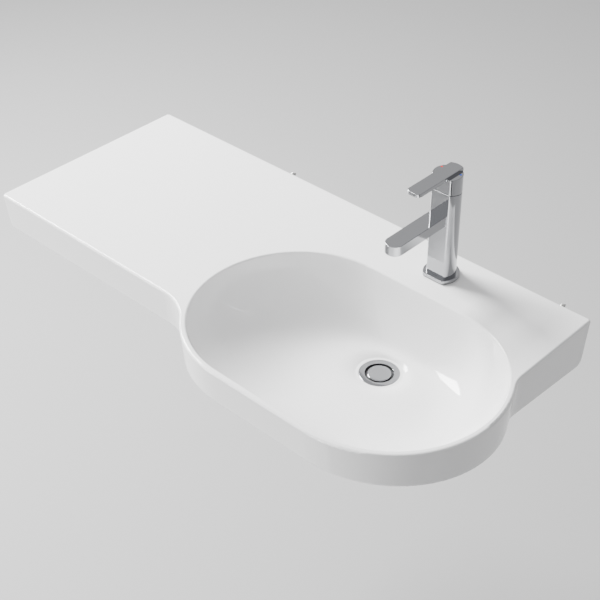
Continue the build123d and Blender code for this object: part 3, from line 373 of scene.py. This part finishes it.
def slab(name, low, high):
    """Block between two corners, used to cut or join."""
    low = Vector(low)
    high = Vector(high)
    return begin(
        name, bpy.ops.mesh.primitive_cube_add, size=1, location=(low + high) / 2, scale=high - low
    )


def combine(piece, other, operation):
    """Joins a piece with another, or cuts it by that, and deletes the other."""
    only(piece)
    bpy.ops.object.modifier_add(type="BOOLEAN")
    modifier = piece.modifiers[-1]
    modifier.object = other
    modifier.operation = operation
    modifier.solver = "EXACT"
    bpy.ops.object.modifier_apply(modifier=modifier.name)
    bpy.data.objects.remove(other, do_unlink=True)


def cut_above(point, normal):
    """Cuts away the open mesh on the normal's side of a plane and closes the cut."""
    bpy.ops.mesh.select_all(action="SELECT")
    bpy.ops.mesh.bisect(plane_co=point, plane_no=normal, use_fill=True, clear_outer=True)


def tilt_about(piece, point, angle):
    """Turns a piece about a level line through a point and puts the turn in its mesh."""
    only(piece)
    piece.data.transform(
        Matrix.Translation(point) @ Matrix.Rotation(angle, 4, "X") @ Matrix.Translation(-Vector(point))
    )


def complete(piece, material, body, *nodes, smooth=radians(32)):
    """Smooths a modelled piece, gives it its finish and its body, and puts it in its nodes' place."""
    only(piece)
    if not piece.data.polygons:
        raise RuntimeError(f"{piece.name} came out empty")
    bpy.ops.object.shade_smooth_by_angle(angle=smooth)
    bpy.ops.object.modifier_add(type="WEIGHTED_NORMAL")
    modifier = piece.modifiers[-1]
    modifier.keep_sharp = True
    bpy.ops.object.modifier_apply(modifier=modifier.name)
    piece.data.materials.clear()
    piece.data.materials.append(material)
    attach(piece, body)
    if nodes:
        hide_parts(*nodes)


def dress(material, *nodes):
    """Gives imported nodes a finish."""
    for name in nodes:
        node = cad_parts[name]
        node.data.materials.clear()
        node.data.materials.append(material)


def surface(name, tint, roughness, metallic=0.0, grain=60.0, spread=0.04, bump=0.0, shade=0.06):
    """Finish whose tint, roughness and surface vary softly over the piece."""
    known = bpy.data.materials.get(name)
    if known:
        return known
    material = bpy.data.materials.new(name)
    material.use_nodes = True
    nodes = material.node_tree.nodes
    links = material.node_tree.links
    shader = nodes["Principled BSDF"]
    shader.inputs["Metallic"].default_value = metallic
    place = nodes.new("ShaderNodeTexCoord")
    cloud = nodes.new("ShaderNodeTexNoise")
    cloud.inputs["Scale"].default_value = grain
    cloud.inputs["Detail"].default_value = 4
    links.new(place.outputs["Object"], cloud.inputs["Vector"])
    tints = nodes.new("ShaderNodeValToRGB")
    tints.color_ramp.elements[0].color = (*[value * (1 - shade) for value in tint], 1)
    tints.color_ramp.elements[1].color = (*tint, 1)
    links.new(cloud.outputs["Fac"], tints.inputs["Fac"])
    links.new(tints.outputs["Color"], shader.inputs["Base Color"])
    rough = nodes.new("ShaderNodeMapRange")
    rough.inputs["To Min"].default_value = roughness
    rough.inputs["To Max"].default_value = roughness + spread
    links.new(cloud.outputs["Fac"], rough.inputs["Value"])
    links.new(rough.outputs["Result"], shader.inputs["Roughness"])
    if bump:
        relief = nodes.new("ShaderNodeBump")
        relief.inputs["Strength"].default_value = 0.5
        relief.inputs["Distance"].default_value = bump
        links.new(cloud.outputs["Fac"], relief.inputs["Height"])
        links.new(relief.outputs["Normal"], shader.inputs["Normal"])
    return material


def ribbed(name, tint, roughness, direction, pitch, depth):
    """Metal finish with fine ridges one pitch apart along X, Y or Z, as a thread or a turned face has."""
    material = surface(name, tint, roughness, metallic=1.0)
    nodes = material.node_tree.nodes
    if nodes.get("ridges"):
        return material
    links = material.node_tree.links
    ridges = nodes.new("ShaderNodeTexWave")
    ridges.name = "ridges"
    ridges.bands_direction = direction
    ridges.inputs["Scale"].default_value = pi / 10 / pitch
    place = nodes["Texture Coordinate"]
    links.new(place.outputs["Object"], ridges.inputs["Vector"])
    relief = nodes.new("ShaderNodeBump")
    relief.inputs["Strength"].default_value = 1.0
    relief.inputs["Distance"].default_value = depth
    links.new(ridges.outputs["Fac"], relief.inputs["Height"])
    links.new(relief.outputs["Normal"], nodes["Principled BSDF"].inputs["Normal"])
    return material


def tint_of(kind):
    """Colour that the panel gives a finish."""
    return tuple(getattr(bpy.context.scene.basin_finishes, kind))


def glaze():
    """White glaze of the ceramic."""
    return surface("white_glaze", tint_of("glaze"), 0.05, grain=9, spread=0.03, bump=0.00002, shade=0.02)


def chrome():
    """Bright plate of the mixer, flange and plug."""
    return surface("chrome_plate", tint_of("chrome"), 0.05, metallic=1.0, grain=30, spread=0.04, shade=0.04)


def rubber():
    """Black rubber of the seals."""
    return surface("black_rubber", tint_of("rubber"), 0.45, grain=900, spread=0.2, bump=0.00003, shade=0.3)


def zinc():
    """Dull plate of steel washers, nuts, pin and spring."""
    return surface(
        "zinc_plate", tint_of("zinc"), 0.28, metallic=1.0, grain=220, spread=0.12, bump=0.00001, shade=0.18
    )


def brass():
    """Turned brass of nuts and stems."""
    return surface("turned_brass", tint_of("brass"), 0.22, metallic=1.0, grain=160, spread=0.12, shade=0.12)


def nylon():
    """White plastic of sleeves, washers and the cartridge's housing."""
    return surface("white_nylon", tint_of("nylon"), 0.38, grain=300, spread=0.12, bump=0.00001, shade=0.05)


def acetal():
    """Grey plastic of the moving plastic parts."""
    return surface("grey_acetal", tint_of("acetal"), 0.35, grain=300, spread=0.12, bump=0.00001, shade=0.1)


def alumina():
    """Hard ceramic of the two discs."""
    return surface("disc_ceramic", tint_of("alumina"), 0.12, grain=400, spread=0.06, shade=0.05)


def rim_arc(radius, top, edge):
    """Rings of a rounded upper rim, from its side to its top."""
    return [(radius - edge + edge * cos(turn), top - edge + edge * sin(turn)) for turn in RIM_TURNS]


def seam_frame(sizes):
    """Body's axis, then the seam's middle, its upward normal and its direction to the wall."""
    tilt = sizes.seam_tilt
    axis_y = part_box("tap_foot_ring")[1][1] - sizes.foot_radius
    seam_back = (sizes.body_radius - sizes.body_flat) / 2
    fall = (sizes.body_flat + seam_back) * tan(tilt)
    seam = Vector((0, axis_y + seam_back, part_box("tap_body")[1][2] - fall))
    return axis_y, seam, Vector((0, sin(tilt), cos(tilt))), Vector((0, cos(tilt), -sin(tilt)))


class BASIN_OT_ceramic(Operator):
    """Gives the ceramic its glaze"""

    bl_idname = "basin.ceramic"
    bl_label = "Ceramic"

    def execute(self, context):
        dress(glaze(), "basin")
        return {"FINISHED"}


class BASIN_OT_fixings(Operator):
    """Finishes the wall fixings behind the band"""

    bl_idname = "basin.fixings"
    bl_label = "Wall fixings"

    def execute(self, context):
        tint = tint_of("zinc")
        dress(ribbed("bolt_thread", tint, 0.25, "Y", 1.5 * MM, 0.4 * MM), "wall_hanger_bolts")
        dress(nylon(), "wall_bolt_sleeves")
        dress(zinc(), "wall_bolt_washers", "wall_bolt_nuts")
        return {"FINISHED"}


class BASIN_OT_waste(Operator):
    """Turns the waste with its flange, throat and spider and finishes its clamp"""

    bl_idname = "basin.waste"
    bl_label = "Waste"

    def execute(self, context):
        sizes = context.scene.basin_waste
        low, high = (Vector(corner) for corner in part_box("waste_body"))
        centre = ((low.x + high.x) / 2, (low.y + high.y) / 2)
        rim = (high.x - low.x) / 2
        top = high.z
        rings = [(rim, top - sizes.flange), *rim_arc(rim, top, sizes.edge)]
        rings += [
            (sizes.opening + LIP_DEPTH, top),
            (sizes.opening + LIP_BREAK, top - LIP_BREAK),
            (sizes.opening, top - LIP_DEPTH),
            (sizes.opening, top - sizes.well + WELL_CORNER),
            (sizes.opening - WELL_CORNER, top - sizes.well),
            (sizes.throat + WELL_CORNER, top - sizes.well),
            (sizes.throat, top - sizes.well - WELL_CORNER),
            (sizes.throat, top - sizes.throat_depth),
            (sizes.tail_bore, top - sizes.throat_depth),
            (sizes.tail_bore, low.z + BORE_CHAMFER),
            (sizes.tail_bore + BORE_CHAMFER, low.z),
            (sizes.tail - TAIL_CHAMFER, low.z),
            (sizes.tail, low.z + TAIL_CHAMFER),
        ]
        nut_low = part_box("waste_backnut")[0][2]
        groove_top = nut_low - GROOVE_BELOW_NUT
        rings += [
            (sizes.tail, groove_top - GROOVE_HEIGHT),
            (sizes.tail - GROOVE_DEPTH, groove_top - GROOVE_HEIGHT),
            (sizes.tail - GROOVE_DEPTH, groove_top),
            (sizes.tail, groove_top),
            (sizes.tail, top - sizes.flange),
            (rim, top - sizes.flange),
        ]
        waste = turned("waste_turned", centre, rings)
        soften(on_plane(Vector((0, 0, top - sizes.throat_depth)), Vector((0, 0, 1))), THROAT_EDGE, 2)
        barrel_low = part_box("click_housing")[0][2]
        spider_low = top - sizes.throat_depth - SPIDER_HEIGHT
        spider_high = top - sizes.throat_depth
        reach = sizes.tail_bore + SPIDER_ROOT
        for width, depth in ((SPIDER_ARM, 2 * reach), (2 * reach, SPIDER_ARM)):
            bar = slab(
                "spider_bar",
                (centre[0] - width / 2, centre[1] - depth / 2, spider_low),
                (centre[0] + width / 2, centre[1] + depth / 2, spider_high),
            )
            combine(waste, bar, "UNION")
        combine(waste, post("spider_hub", centre, SPIDER_HUB, spider_low, spider_high), "UNION")
        bore = post("spider_bore", centre, BARREL_HOLE, barrel_low, spider_high + OVERRUN)
        combine(waste, bore, "DIFFERENCE")
        complete(waste, chrome(), "base", "waste_body")
        dress(rubber(), "waste_top_seal", "waste_bottom_seal")
        dress(nylon(), "waste_slip_washer")
        dress(brass(), "waste_backnut")
        return {"FINISHED"}


class BASIN_OT_plug(Operator):
    """Turns the plug's cap and finishes the parts that lift it"""

    bl_idname = "basin.plug"
    bl_label = "Plug"

    def execute(self, context):
        low, high = (Vector(corner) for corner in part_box("plug_cap"))
        centre = ((low.x + high.x) / 2, (low.y + high.y) / 2)
        radius = (high.x - low.x) / 2
        rings = (
            (STEM_HOLE, low.z + STEM_HOLE_DEPTH),
            (STEM_HOLE, low.z),
            (radius - CAP_CHAMFER, low.z),
            (radius, low.z + CAP_CHAMFER),
            *rim_arc(radius, high.z, context.scene.basin_waste.edge),
        )
        cap = turned("plug_turned", centre, rings)
        complete(cap, chrome(), "plug", "plug_cap")
        dress(rubber(), "plug_seal")
        dress(brass(), "plug_stem")
        dress(nylon(), "click_ring")
        dress(acetal(), "click_housing")
        dress(zinc(), "plug_spring")
        return {"FINISHED"}


class BASIN_OT_mixer_foot(Operator):
    """Models the mixer's foot ring and finishes its gasket"""

    bl_idname = "basin.mixer_foot"
    bl_label = "Mixer foot"

    def execute(self, context):
        sizes = context.scene.basin_mixer
        low, high = (Vector(corner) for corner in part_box("tap_foot_ring"))
        centre_y = high.y - sizes.foot_radius
        foot = flatted(
            "mixer_foot", centre_y, sizes.foot_radius, sizes.foot_flat, sizes.foot_corner, low.z, high.z
        )
        soften(at_height(high.z), sizes.edge * FOOT_EDGE_RATIO, 4)
        bore_radius = sizes.spigot_radius + FOOT_GAP
        bore = post("foot_bore", (0, centre_y), bore_radius, low.z - OVERRUN, high.z + OVERRUN)
        combine(foot, bore, "DIFFERENCE")
        complete(foot, chrome(), "base", "tap_foot_ring")
        dress(rubber(), "tap_base_gasket")
        return {"FINISHED"}


class BASIN_OT_mixer_body(Operator):
    """Models the mixer's body with its spout, cartridge chamber and inlets"""

    bl_idname = "basin.mixer_body"
    bl_label = "Mixer body"

    def execute(self, context):
        sizes = context.scene.basin_mixer
        low, high = (Vector(corner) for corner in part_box("tap_body"))
        foot_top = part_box("tap_foot_ring")[1][2]
        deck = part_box("tap_base_gasket")[0][2]
        axis_y, seam, up = seam_frame(sizes)[:3]
        body = flatted(
            "mixer_body",
            axis_y,
            sizes.body_radius,
            sizes.body_flat,
            sizes.body_corner,
            foot_top,
            high.z + CUT_SPARE,
        )
        cut_above(seam, up)
        face_outwards()
        soften(on_plane(seam, up), SEAM_EDGE, 2)
        reach = low.y + sizes.spout_width / 2
        half = sizes.spout_width / 2
        spout_top = deck + sizes.spout_top
        spout_low = spout_top - sizes.spout_thickness
        spout = walled(
            "spout",
            (half, reach),
            (
                (0, axis_y - reach),
                (0, axis_y, pi, SPOUT_REAR_STEPS),
                (0, reach - axis_y),
                (0, reach, pi, SPOUT_TIP_STEPS),
            ),
            spout_low,
            spout_top,
        )
        soften(at_height(spout_top), sizes.edge, 3)
        soften(at_height(spout_low), sizes.edge, 3)
        combine(body, spout, "UNION")
        spigot = post("spigot", (0, axis_y), sizes.spigot_radius, low.z, foot_top + OVERRUN, FINE_STEPS)
        combine(body, spigot, "UNION")
        cutters = (
            ("chamber", CHAMBER_RADIUS, CHAMBER_DEPTH),
            ("chamber_mouth", MOUTH_RADIUS, MOUTH_DEPTH),
        )
        for name, radius, depth in cutters:
            cutter = post(name, (0, seam.y), radius, seam.z - depth, seam.z + CHAMBER_RISE, FINE_STEPS)
            tilt_about(cutter, seam, -sizes.seam_tilt)
            combine(body, cutter, "DIFFERENCE")
        outlet_top = spout_low + OUTLET_DEPTH
        outlet = post("outlet", (0, reach), OUTLET_RADIUS, spout_low - OVERRUN, outlet_top, FINE_STEPS)
        combine(body, outlet, "DIFFERENCE")
        waterway_low = spout_low + WATERWAY_LOW
        waterway = post("waterway", (0, reach), WATERWAY_RADIUS, waterway_low, spout_low + WATERWAY_HIGH)
        combine(body, waterway, "DIFFERENCE")
        hole_low = low.z - OVERRUN
        hole_top = low.z + SPIGOT_HOLE_DEPTH
        inlet_y = seam.y + INLET_BACK * cos(sizes.seam_tilt) - INLET_FORWARD
        for side in (-1, 1):
            inlet = post("inlet", (side * INLET_SIDE, inlet_y), INLET_RADIUS, hole_low, hole_top)
            combine(body, inlet, "DIFFERENCE")
        stud_low, stud_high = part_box("tap_stud")
        stud_hole = post("stud_hole", (0, (stud_low[1] + stud_high[1]) / 2), STUD_HOLE, hole_low, hole_top)
        combine(body, stud_hole, "DIFFERENCE")
        complete(body, chrome(), "base", "tap_body")
        return {"FINISHED"}


class BASIN_OT_outlet(Operator):
    """Finishes the spout's outlet"""

    bl_idname = "basin.outlet"
    bl_label = "Spout outlet"

    def execute(self, context):
        dress(chrome(), "aerator_housing")
        dress(acetal(), "aerator_insert")
        dress(rubber(), "aerator_seal")
        return {"FINISHED"}


class BASIN_OT_clamp(Operator):
    """Finishes the mixer's clamp under the deck"""

    bl_idname = "basin.clamp"
    bl_label = "Mixer clamp"

    def execute(self, context):
        tint = tint_of("brass")
        dress(rubber(), "horseshoe_rubber")
        dress(zinc(), "horseshoe_plate")
        dress(ribbed("stud_thread", tint, 0.25, "Z", 1.25 * MM, 0.3 * MM), "tap_stud")
        dress(brass(), "tap_stud_nut")
        return {"FINISHED"}


class BASIN_OT_cartridge(Operator):
    """Finishes the cartridge inside the mixer"""

    bl_idname = "basin.cartridge"
    bl_label = "Cartridge"

    def execute(self, context):
        dress(nylon(), "cartridge_housing", "cartridge_base")
        dress(rubber(), "cartridge_base_seals")
        dress(brass(), "cartridge_nut", "lever_stem")
        dress(alumina(), "cartridge_fixed_disc", "cartridge_moving_disc")
        dress(acetal(), "cartridge_carrier", "cartridge_turret")
        dress(rubber(), "seam_slip_ring")
        dress(zinc(), "lever_pivot_pin")
        return {"FINISHED"}


class BASIN_OT_lever(Operator):
    """Models the lever's hollow head with its raised bar and finishes its screw and dots"""

    bl_idname = "basin.lever"
    bl_label = "Lever"

    def execute(self, context):
        sizes = context.scene.basin_mixer
        tilt = sizes.seam_tilt
        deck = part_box("tap_base_gasket")[0][2]
        low, high = (Vector(corner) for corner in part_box("lever_handle"))
        axis_y, seam, up, back = seam_frame(sizes)
        shoulder = deck + sizes.shoulder
        head = flatted(
            "mixer_lever",
            axis_y,
            sizes.body_radius,
            sizes.body_flat,
            sizes.body_corner,
            seam.z - CUT_SPARE,
            shoulder,
        )
        soften(at_height(shoulder), sizes.edge, 3)
        foot = seam + up * HEAD_GAP
        cut_above(foot, -up)
        rear = foot + back * RELIEF_START
        slope = Vector((0, sin(tilt - sizes.lift), cos(tilt - sizes.lift)))
        cut_above(rear, -slope)
        face_outwards()
        bar_front = low.y + sizes.bar_corner
        rear_reach = sqrt(sizes.bar_rear ** 2 - BAR_HALF ** 2)
        rear_y = axis_y + rear_reach
        rear_turn = 2 * atan2(BAR_HALF, rear_reach)
        inner = BAR_HALF - sizes.bar_corner
        bar_low = high.z - BAR_THICKNESS
        bar = walled(
            "bar",
            (BAR_HALF, bar_front),
            (
                (0, rear_y - bar_front),
                (0, axis_y, rear_turn, BAR_REAR_STEPS),
                (0, bar_front - rear_y),
                (-inner, bar_front, pi / 2, BAR_CORNER_STEPS),
                (2 * inner, 0),
                (inner, bar_front, pi / 2, BAR_CORNER_STEPS),
            ),
            bar_low,
            high.z,
        )
        soften(at_height(high.z), sizes.edge, 3)
        soften(at_height(bar_low), sizes.edge, 3)
        combine(head, bar, "UNION")
        hollow = flatted(
            "head_hollow",
            axis_y,
            sizes.body_radius - sizes.head_wall,
            sizes.body_flat - sizes.head_wall,
            HOLLOW_CORNER,
            seam.z - HOLLOW_BELOW,
            seam.z + HOLLOW_ABOVE,
        )
        cut_above(seam + up * sizes.head_hollow, up)
        combine(head, hollow, "DIFFERENCE")
        socket = slab(
            "socket",
            (-SOCKET_HALF, seam.y - SOCKET_HALF, seam.z + sizes.head_hollow - OVERRUN),
            (SOCKET_HALF, seam.y + SOCKET_HALF, seam.z + SOCKET_TOP),
        )
        tilt_about(socket, seam, -tilt)
        combine(head, socket, "DIFFERENCE")
        screw_low, screw_high = (Vector(corner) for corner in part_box("lever_grub_screw"))
        screw = (screw_low + screw_high) / 2
        hole_low = screw.z - SCREW_HOLE_BEHIND
        hole = post("screw_hole", (0, screw.y), SCREW_HOLE, hole_low, screw.z + SCREW_HOLE_AHEAD)
        tilt_about(hole, screw, pi / 2 - tilt)
        combine(head, hole, "DIFFERENCE")
        for name in ("hot_dot", "cold_dot"):
            dot_low, dot_high = (Vector(corner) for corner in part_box(name))
            dot = (dot_low + dot_high) / 2
            recess = post("dot_recess", (dot.x, dot.y), DOT_HOLE, dot_low.z, shoulder + OVERRUN)
            combine(head, recess, "DIFFERENCE")
        complete(head, chrome(), "lever", "lever_handle")
        # Black steel of the grub screw, also laid on the faces of its bore as painted shade
        steel = surface("black_steel", (0.03, 0.03, 0.03), 0.4, metallic=0.6, grain=400, shade=0.3)
        head.data.materials.append(steel)
        # Painted shade: faces of the screw's bore take the black steel so the hole reads dark
        for face in head.data.polygons:
            offsets = [head.data.vertices[index].co - screw for index in face.vertices]
            if all((offset - back * offset.dot(back)).length < SCREW_BORE_SHADE for offset in offsets):
                face.material_index = 1
        dress(steel, "lever_grub_screw")
        dress(surface("red_enamel", tint_of("hot"), 0.15, grain=300, shade=0.2), "hot_dot")
        dress(surface("blue_enamel", tint_of("cold"), 0.15, grain=300, shade=0.2), "cold_dot")
        return {"FINISHED"}


class BASIN_OT_stage(Operator):
    """Sets the floor, the soft light and the camera"""

    bl_idname = "basin.stage"
    bl_label = "Stage"

    def execute(self, context):
        settings = context.scene.basin_stage
        self.floor(settings)
        self.surround(context, settings)
        self.lights(settings)
        self.cards()
        self.camera(context, settings)
        return {"FINISHED"}

    def floor(self, settings):
        """Wide pale floor."""
        place = (0, 0, -settings.hung)
        floor = begin("stage_floor", bpy.ops.mesh.primitive_plane_add, size=30, location=place)
        bpy.ops.mesh.subdivide(number_cuts=3)
        object_mode()
        floor.data.materials.append(
            surface("pale_floor", tuple(settings.floor_colour), 0.75, grain=1.2, spread=0.1, shade=0.02)
        )

    def surround(self, context, settings):
        """Soft grey surround, lighter above and on the left."""
        world = bpy.data.worlds.new("studio")
        context.scene.world = world
        world.use_nodes = True
        nodes = world.node_tree.nodes
        links = world.node_tree.links
        back = nodes["Background"]
        back.inputs["Strength"].default_value = settings.world_light
        place = nodes.new("ShaderNodeTexCoord")
        facing = nodes.new("ShaderNodeVectorMath")
        facing.operation = "DOT_PRODUCT"
        facing.inputs[1].default_value = SKY_DIRECTION
        ramp = nodes.new("ShaderNodeValToRGB")
        links.new(place.outputs["Generated"], facing.inputs[0])
        links.new(facing.outputs["Value"], ramp.inputs["Fac"])
        links.new(ramp.outputs["Color"], back.inputs["Color"])
        stops = ramp.color_ramp.elements
        stops[0].position = 0.0
        stops[0].color = SKY_DARK
        stops[1].position = 1.0
        stops[1].color = SKY_LIGHT

    def lights(self, settings):
        """Soft boxes over and beside the object."""
        places = (
            ("key", KEY_PLACE, KEY_AIM, KEY_SIZE, settings.key_power),
            ("front_fill", FILL_PLACE, FILL_AIM, FILL_SIZE, settings.fill_power),
        )
        for name, place, aim, size, power in places:
            bpy.ops.object.select_all(action="DESELECT")
            bpy.ops.object.light_add(type="AREA", location=place)
            light = bpy.context.object
            light.name = name
            light.data.shape = "RECTANGLE"
            light.data.size, light.data.size_y = size
            light.data.energy = power
            light.rotation_euler = (Vector(aim) - Vector(place)).to_track_quat("-Z", "Y").to_euler()
            light.visible_camera = False

    def cards(self):
        """Two dark cards in front of the basin that only the chrome's corner mirrors."""
        black = surface("card_black", (0.004, 0.004, 0.004), 0.9, grain=20, shade=0.2)
        for index, turn in enumerate(CARD_TURNS):
            place = (CARD_REACH * sin(turn), CARD_START - CARD_REACH * cos(turn), CARD_HEIGHT)
            card = begin(
                f"stage_card_{index}",
                bpy.ops.mesh.primitive_plane_add,
                size=1,
                location=place,
                rotation=(pi / 2, 0, turn),
                scale=CARD_SIZE,
            )
            bpy.ops.mesh.subdivide(number_cuts=1)
            object_mode()
            card.data.materials.append(black)
            card.visible_camera = False
            card.visible_shadow = False
            card.visible_diffuse = False

    def camera(self, context, settings):
        """Camera at the photograph's place and angle."""
        azimuth, elevation, roll = (radians(angle) for angle in CAMERA_ANGLES)
        forward = Vector((-sin(azimuth) * cos(elevation), cos(azimuth) * cos(elevation), -sin(elevation)))
        right = forward.cross(Vector((0, 0, 1))).normalized()
        down = forward.cross(right)
        turned_right = cos(roll) * right + sin(roll) * down
        turned_down = cos(roll) * down - sin(roll) * right
        turn = Matrix((turned_right, -turned_down, -forward)).transposed()
        bpy.ops.object.select_all(action="DESELECT")
        bpy.ops.object.camera_add(location=CAMERA_PLACE)
        camera = context.object
        camera.name = "photo_camera"
        camera.rotation_euler = turn.to_euler()
        camera.data.sensor_width = CAMERA_SENSOR
        camera.data.lens = settings.lens
        context.scene.camera = camera


STEPS = (
    BASIN_OT_ceramic,
    BASIN_OT_fixings,
    BASIN_OT_waste,
    BASIN_OT_plug,
    BASIN_OT_mixer_foot,
    BASIN_OT_mixer_body,
    BASIN_OT_outlet,
    BASIN_OT_clamp,
    BASIN_OT_cartridge,
    BASIN_OT_lever,
    BASIN_OT_stage,
)


class BASIN_PT_sidebar(Panel):
    """The basin's sizes, finishes and pieces"""

    bl_idname = "BASIN_PT_sidebar"
    bl_label = "Wall-hung basin"
    bl_space_type = "VIEW_3D"
    bl_region_type = "UI"
    bl_category = "Basin"

    def draw(self, context):
        for group in GROUPS:
            settings = getattr(context.scene, GROUPS[group])
            box = self.layout.box()
            box.label(text=group.__name__)
            for name in group.__annotations__:
                box.prop(settings, name)
        for step in STEPS:
            self.layout.operator(step.bl_idname)


GROUPS = {
    MixerSizes: "basin_mixer",
    WasteSizes: "basin_waste",
    Finishes: "basin_finishes",
    StageSettings: "basin_stage",
}


def register():
    """Adds the sizes, pieces and panel."""
    for group, name in GROUPS.items():
        bpy.utils.register_class(group)
        setattr(bpy.types.Scene, name, PointerProperty(type=group))
    for kind in (*STEPS, BASIN_PT_sidebar):
        bpy.utils.register_class(kind)


def unregister():
    """Takes the panel, pieces and sizes away."""
    for kind in (BASIN_PT_sidebar, *reversed(STEPS)):
        bpy.utils.unregister_class(kind)
    for group, name in GROUPS.items():
        delattr(bpy.types.Scene, name)
        bpy.utils.unregister_class(group)


def main():
    """Dresses the whole object."""
    register()
    for step in STEPS:
        group, name = step.bl_idname.split(".")
        getattr(getattr(bpy.ops, group), name)()


if __name__ == "__main__":
    main()
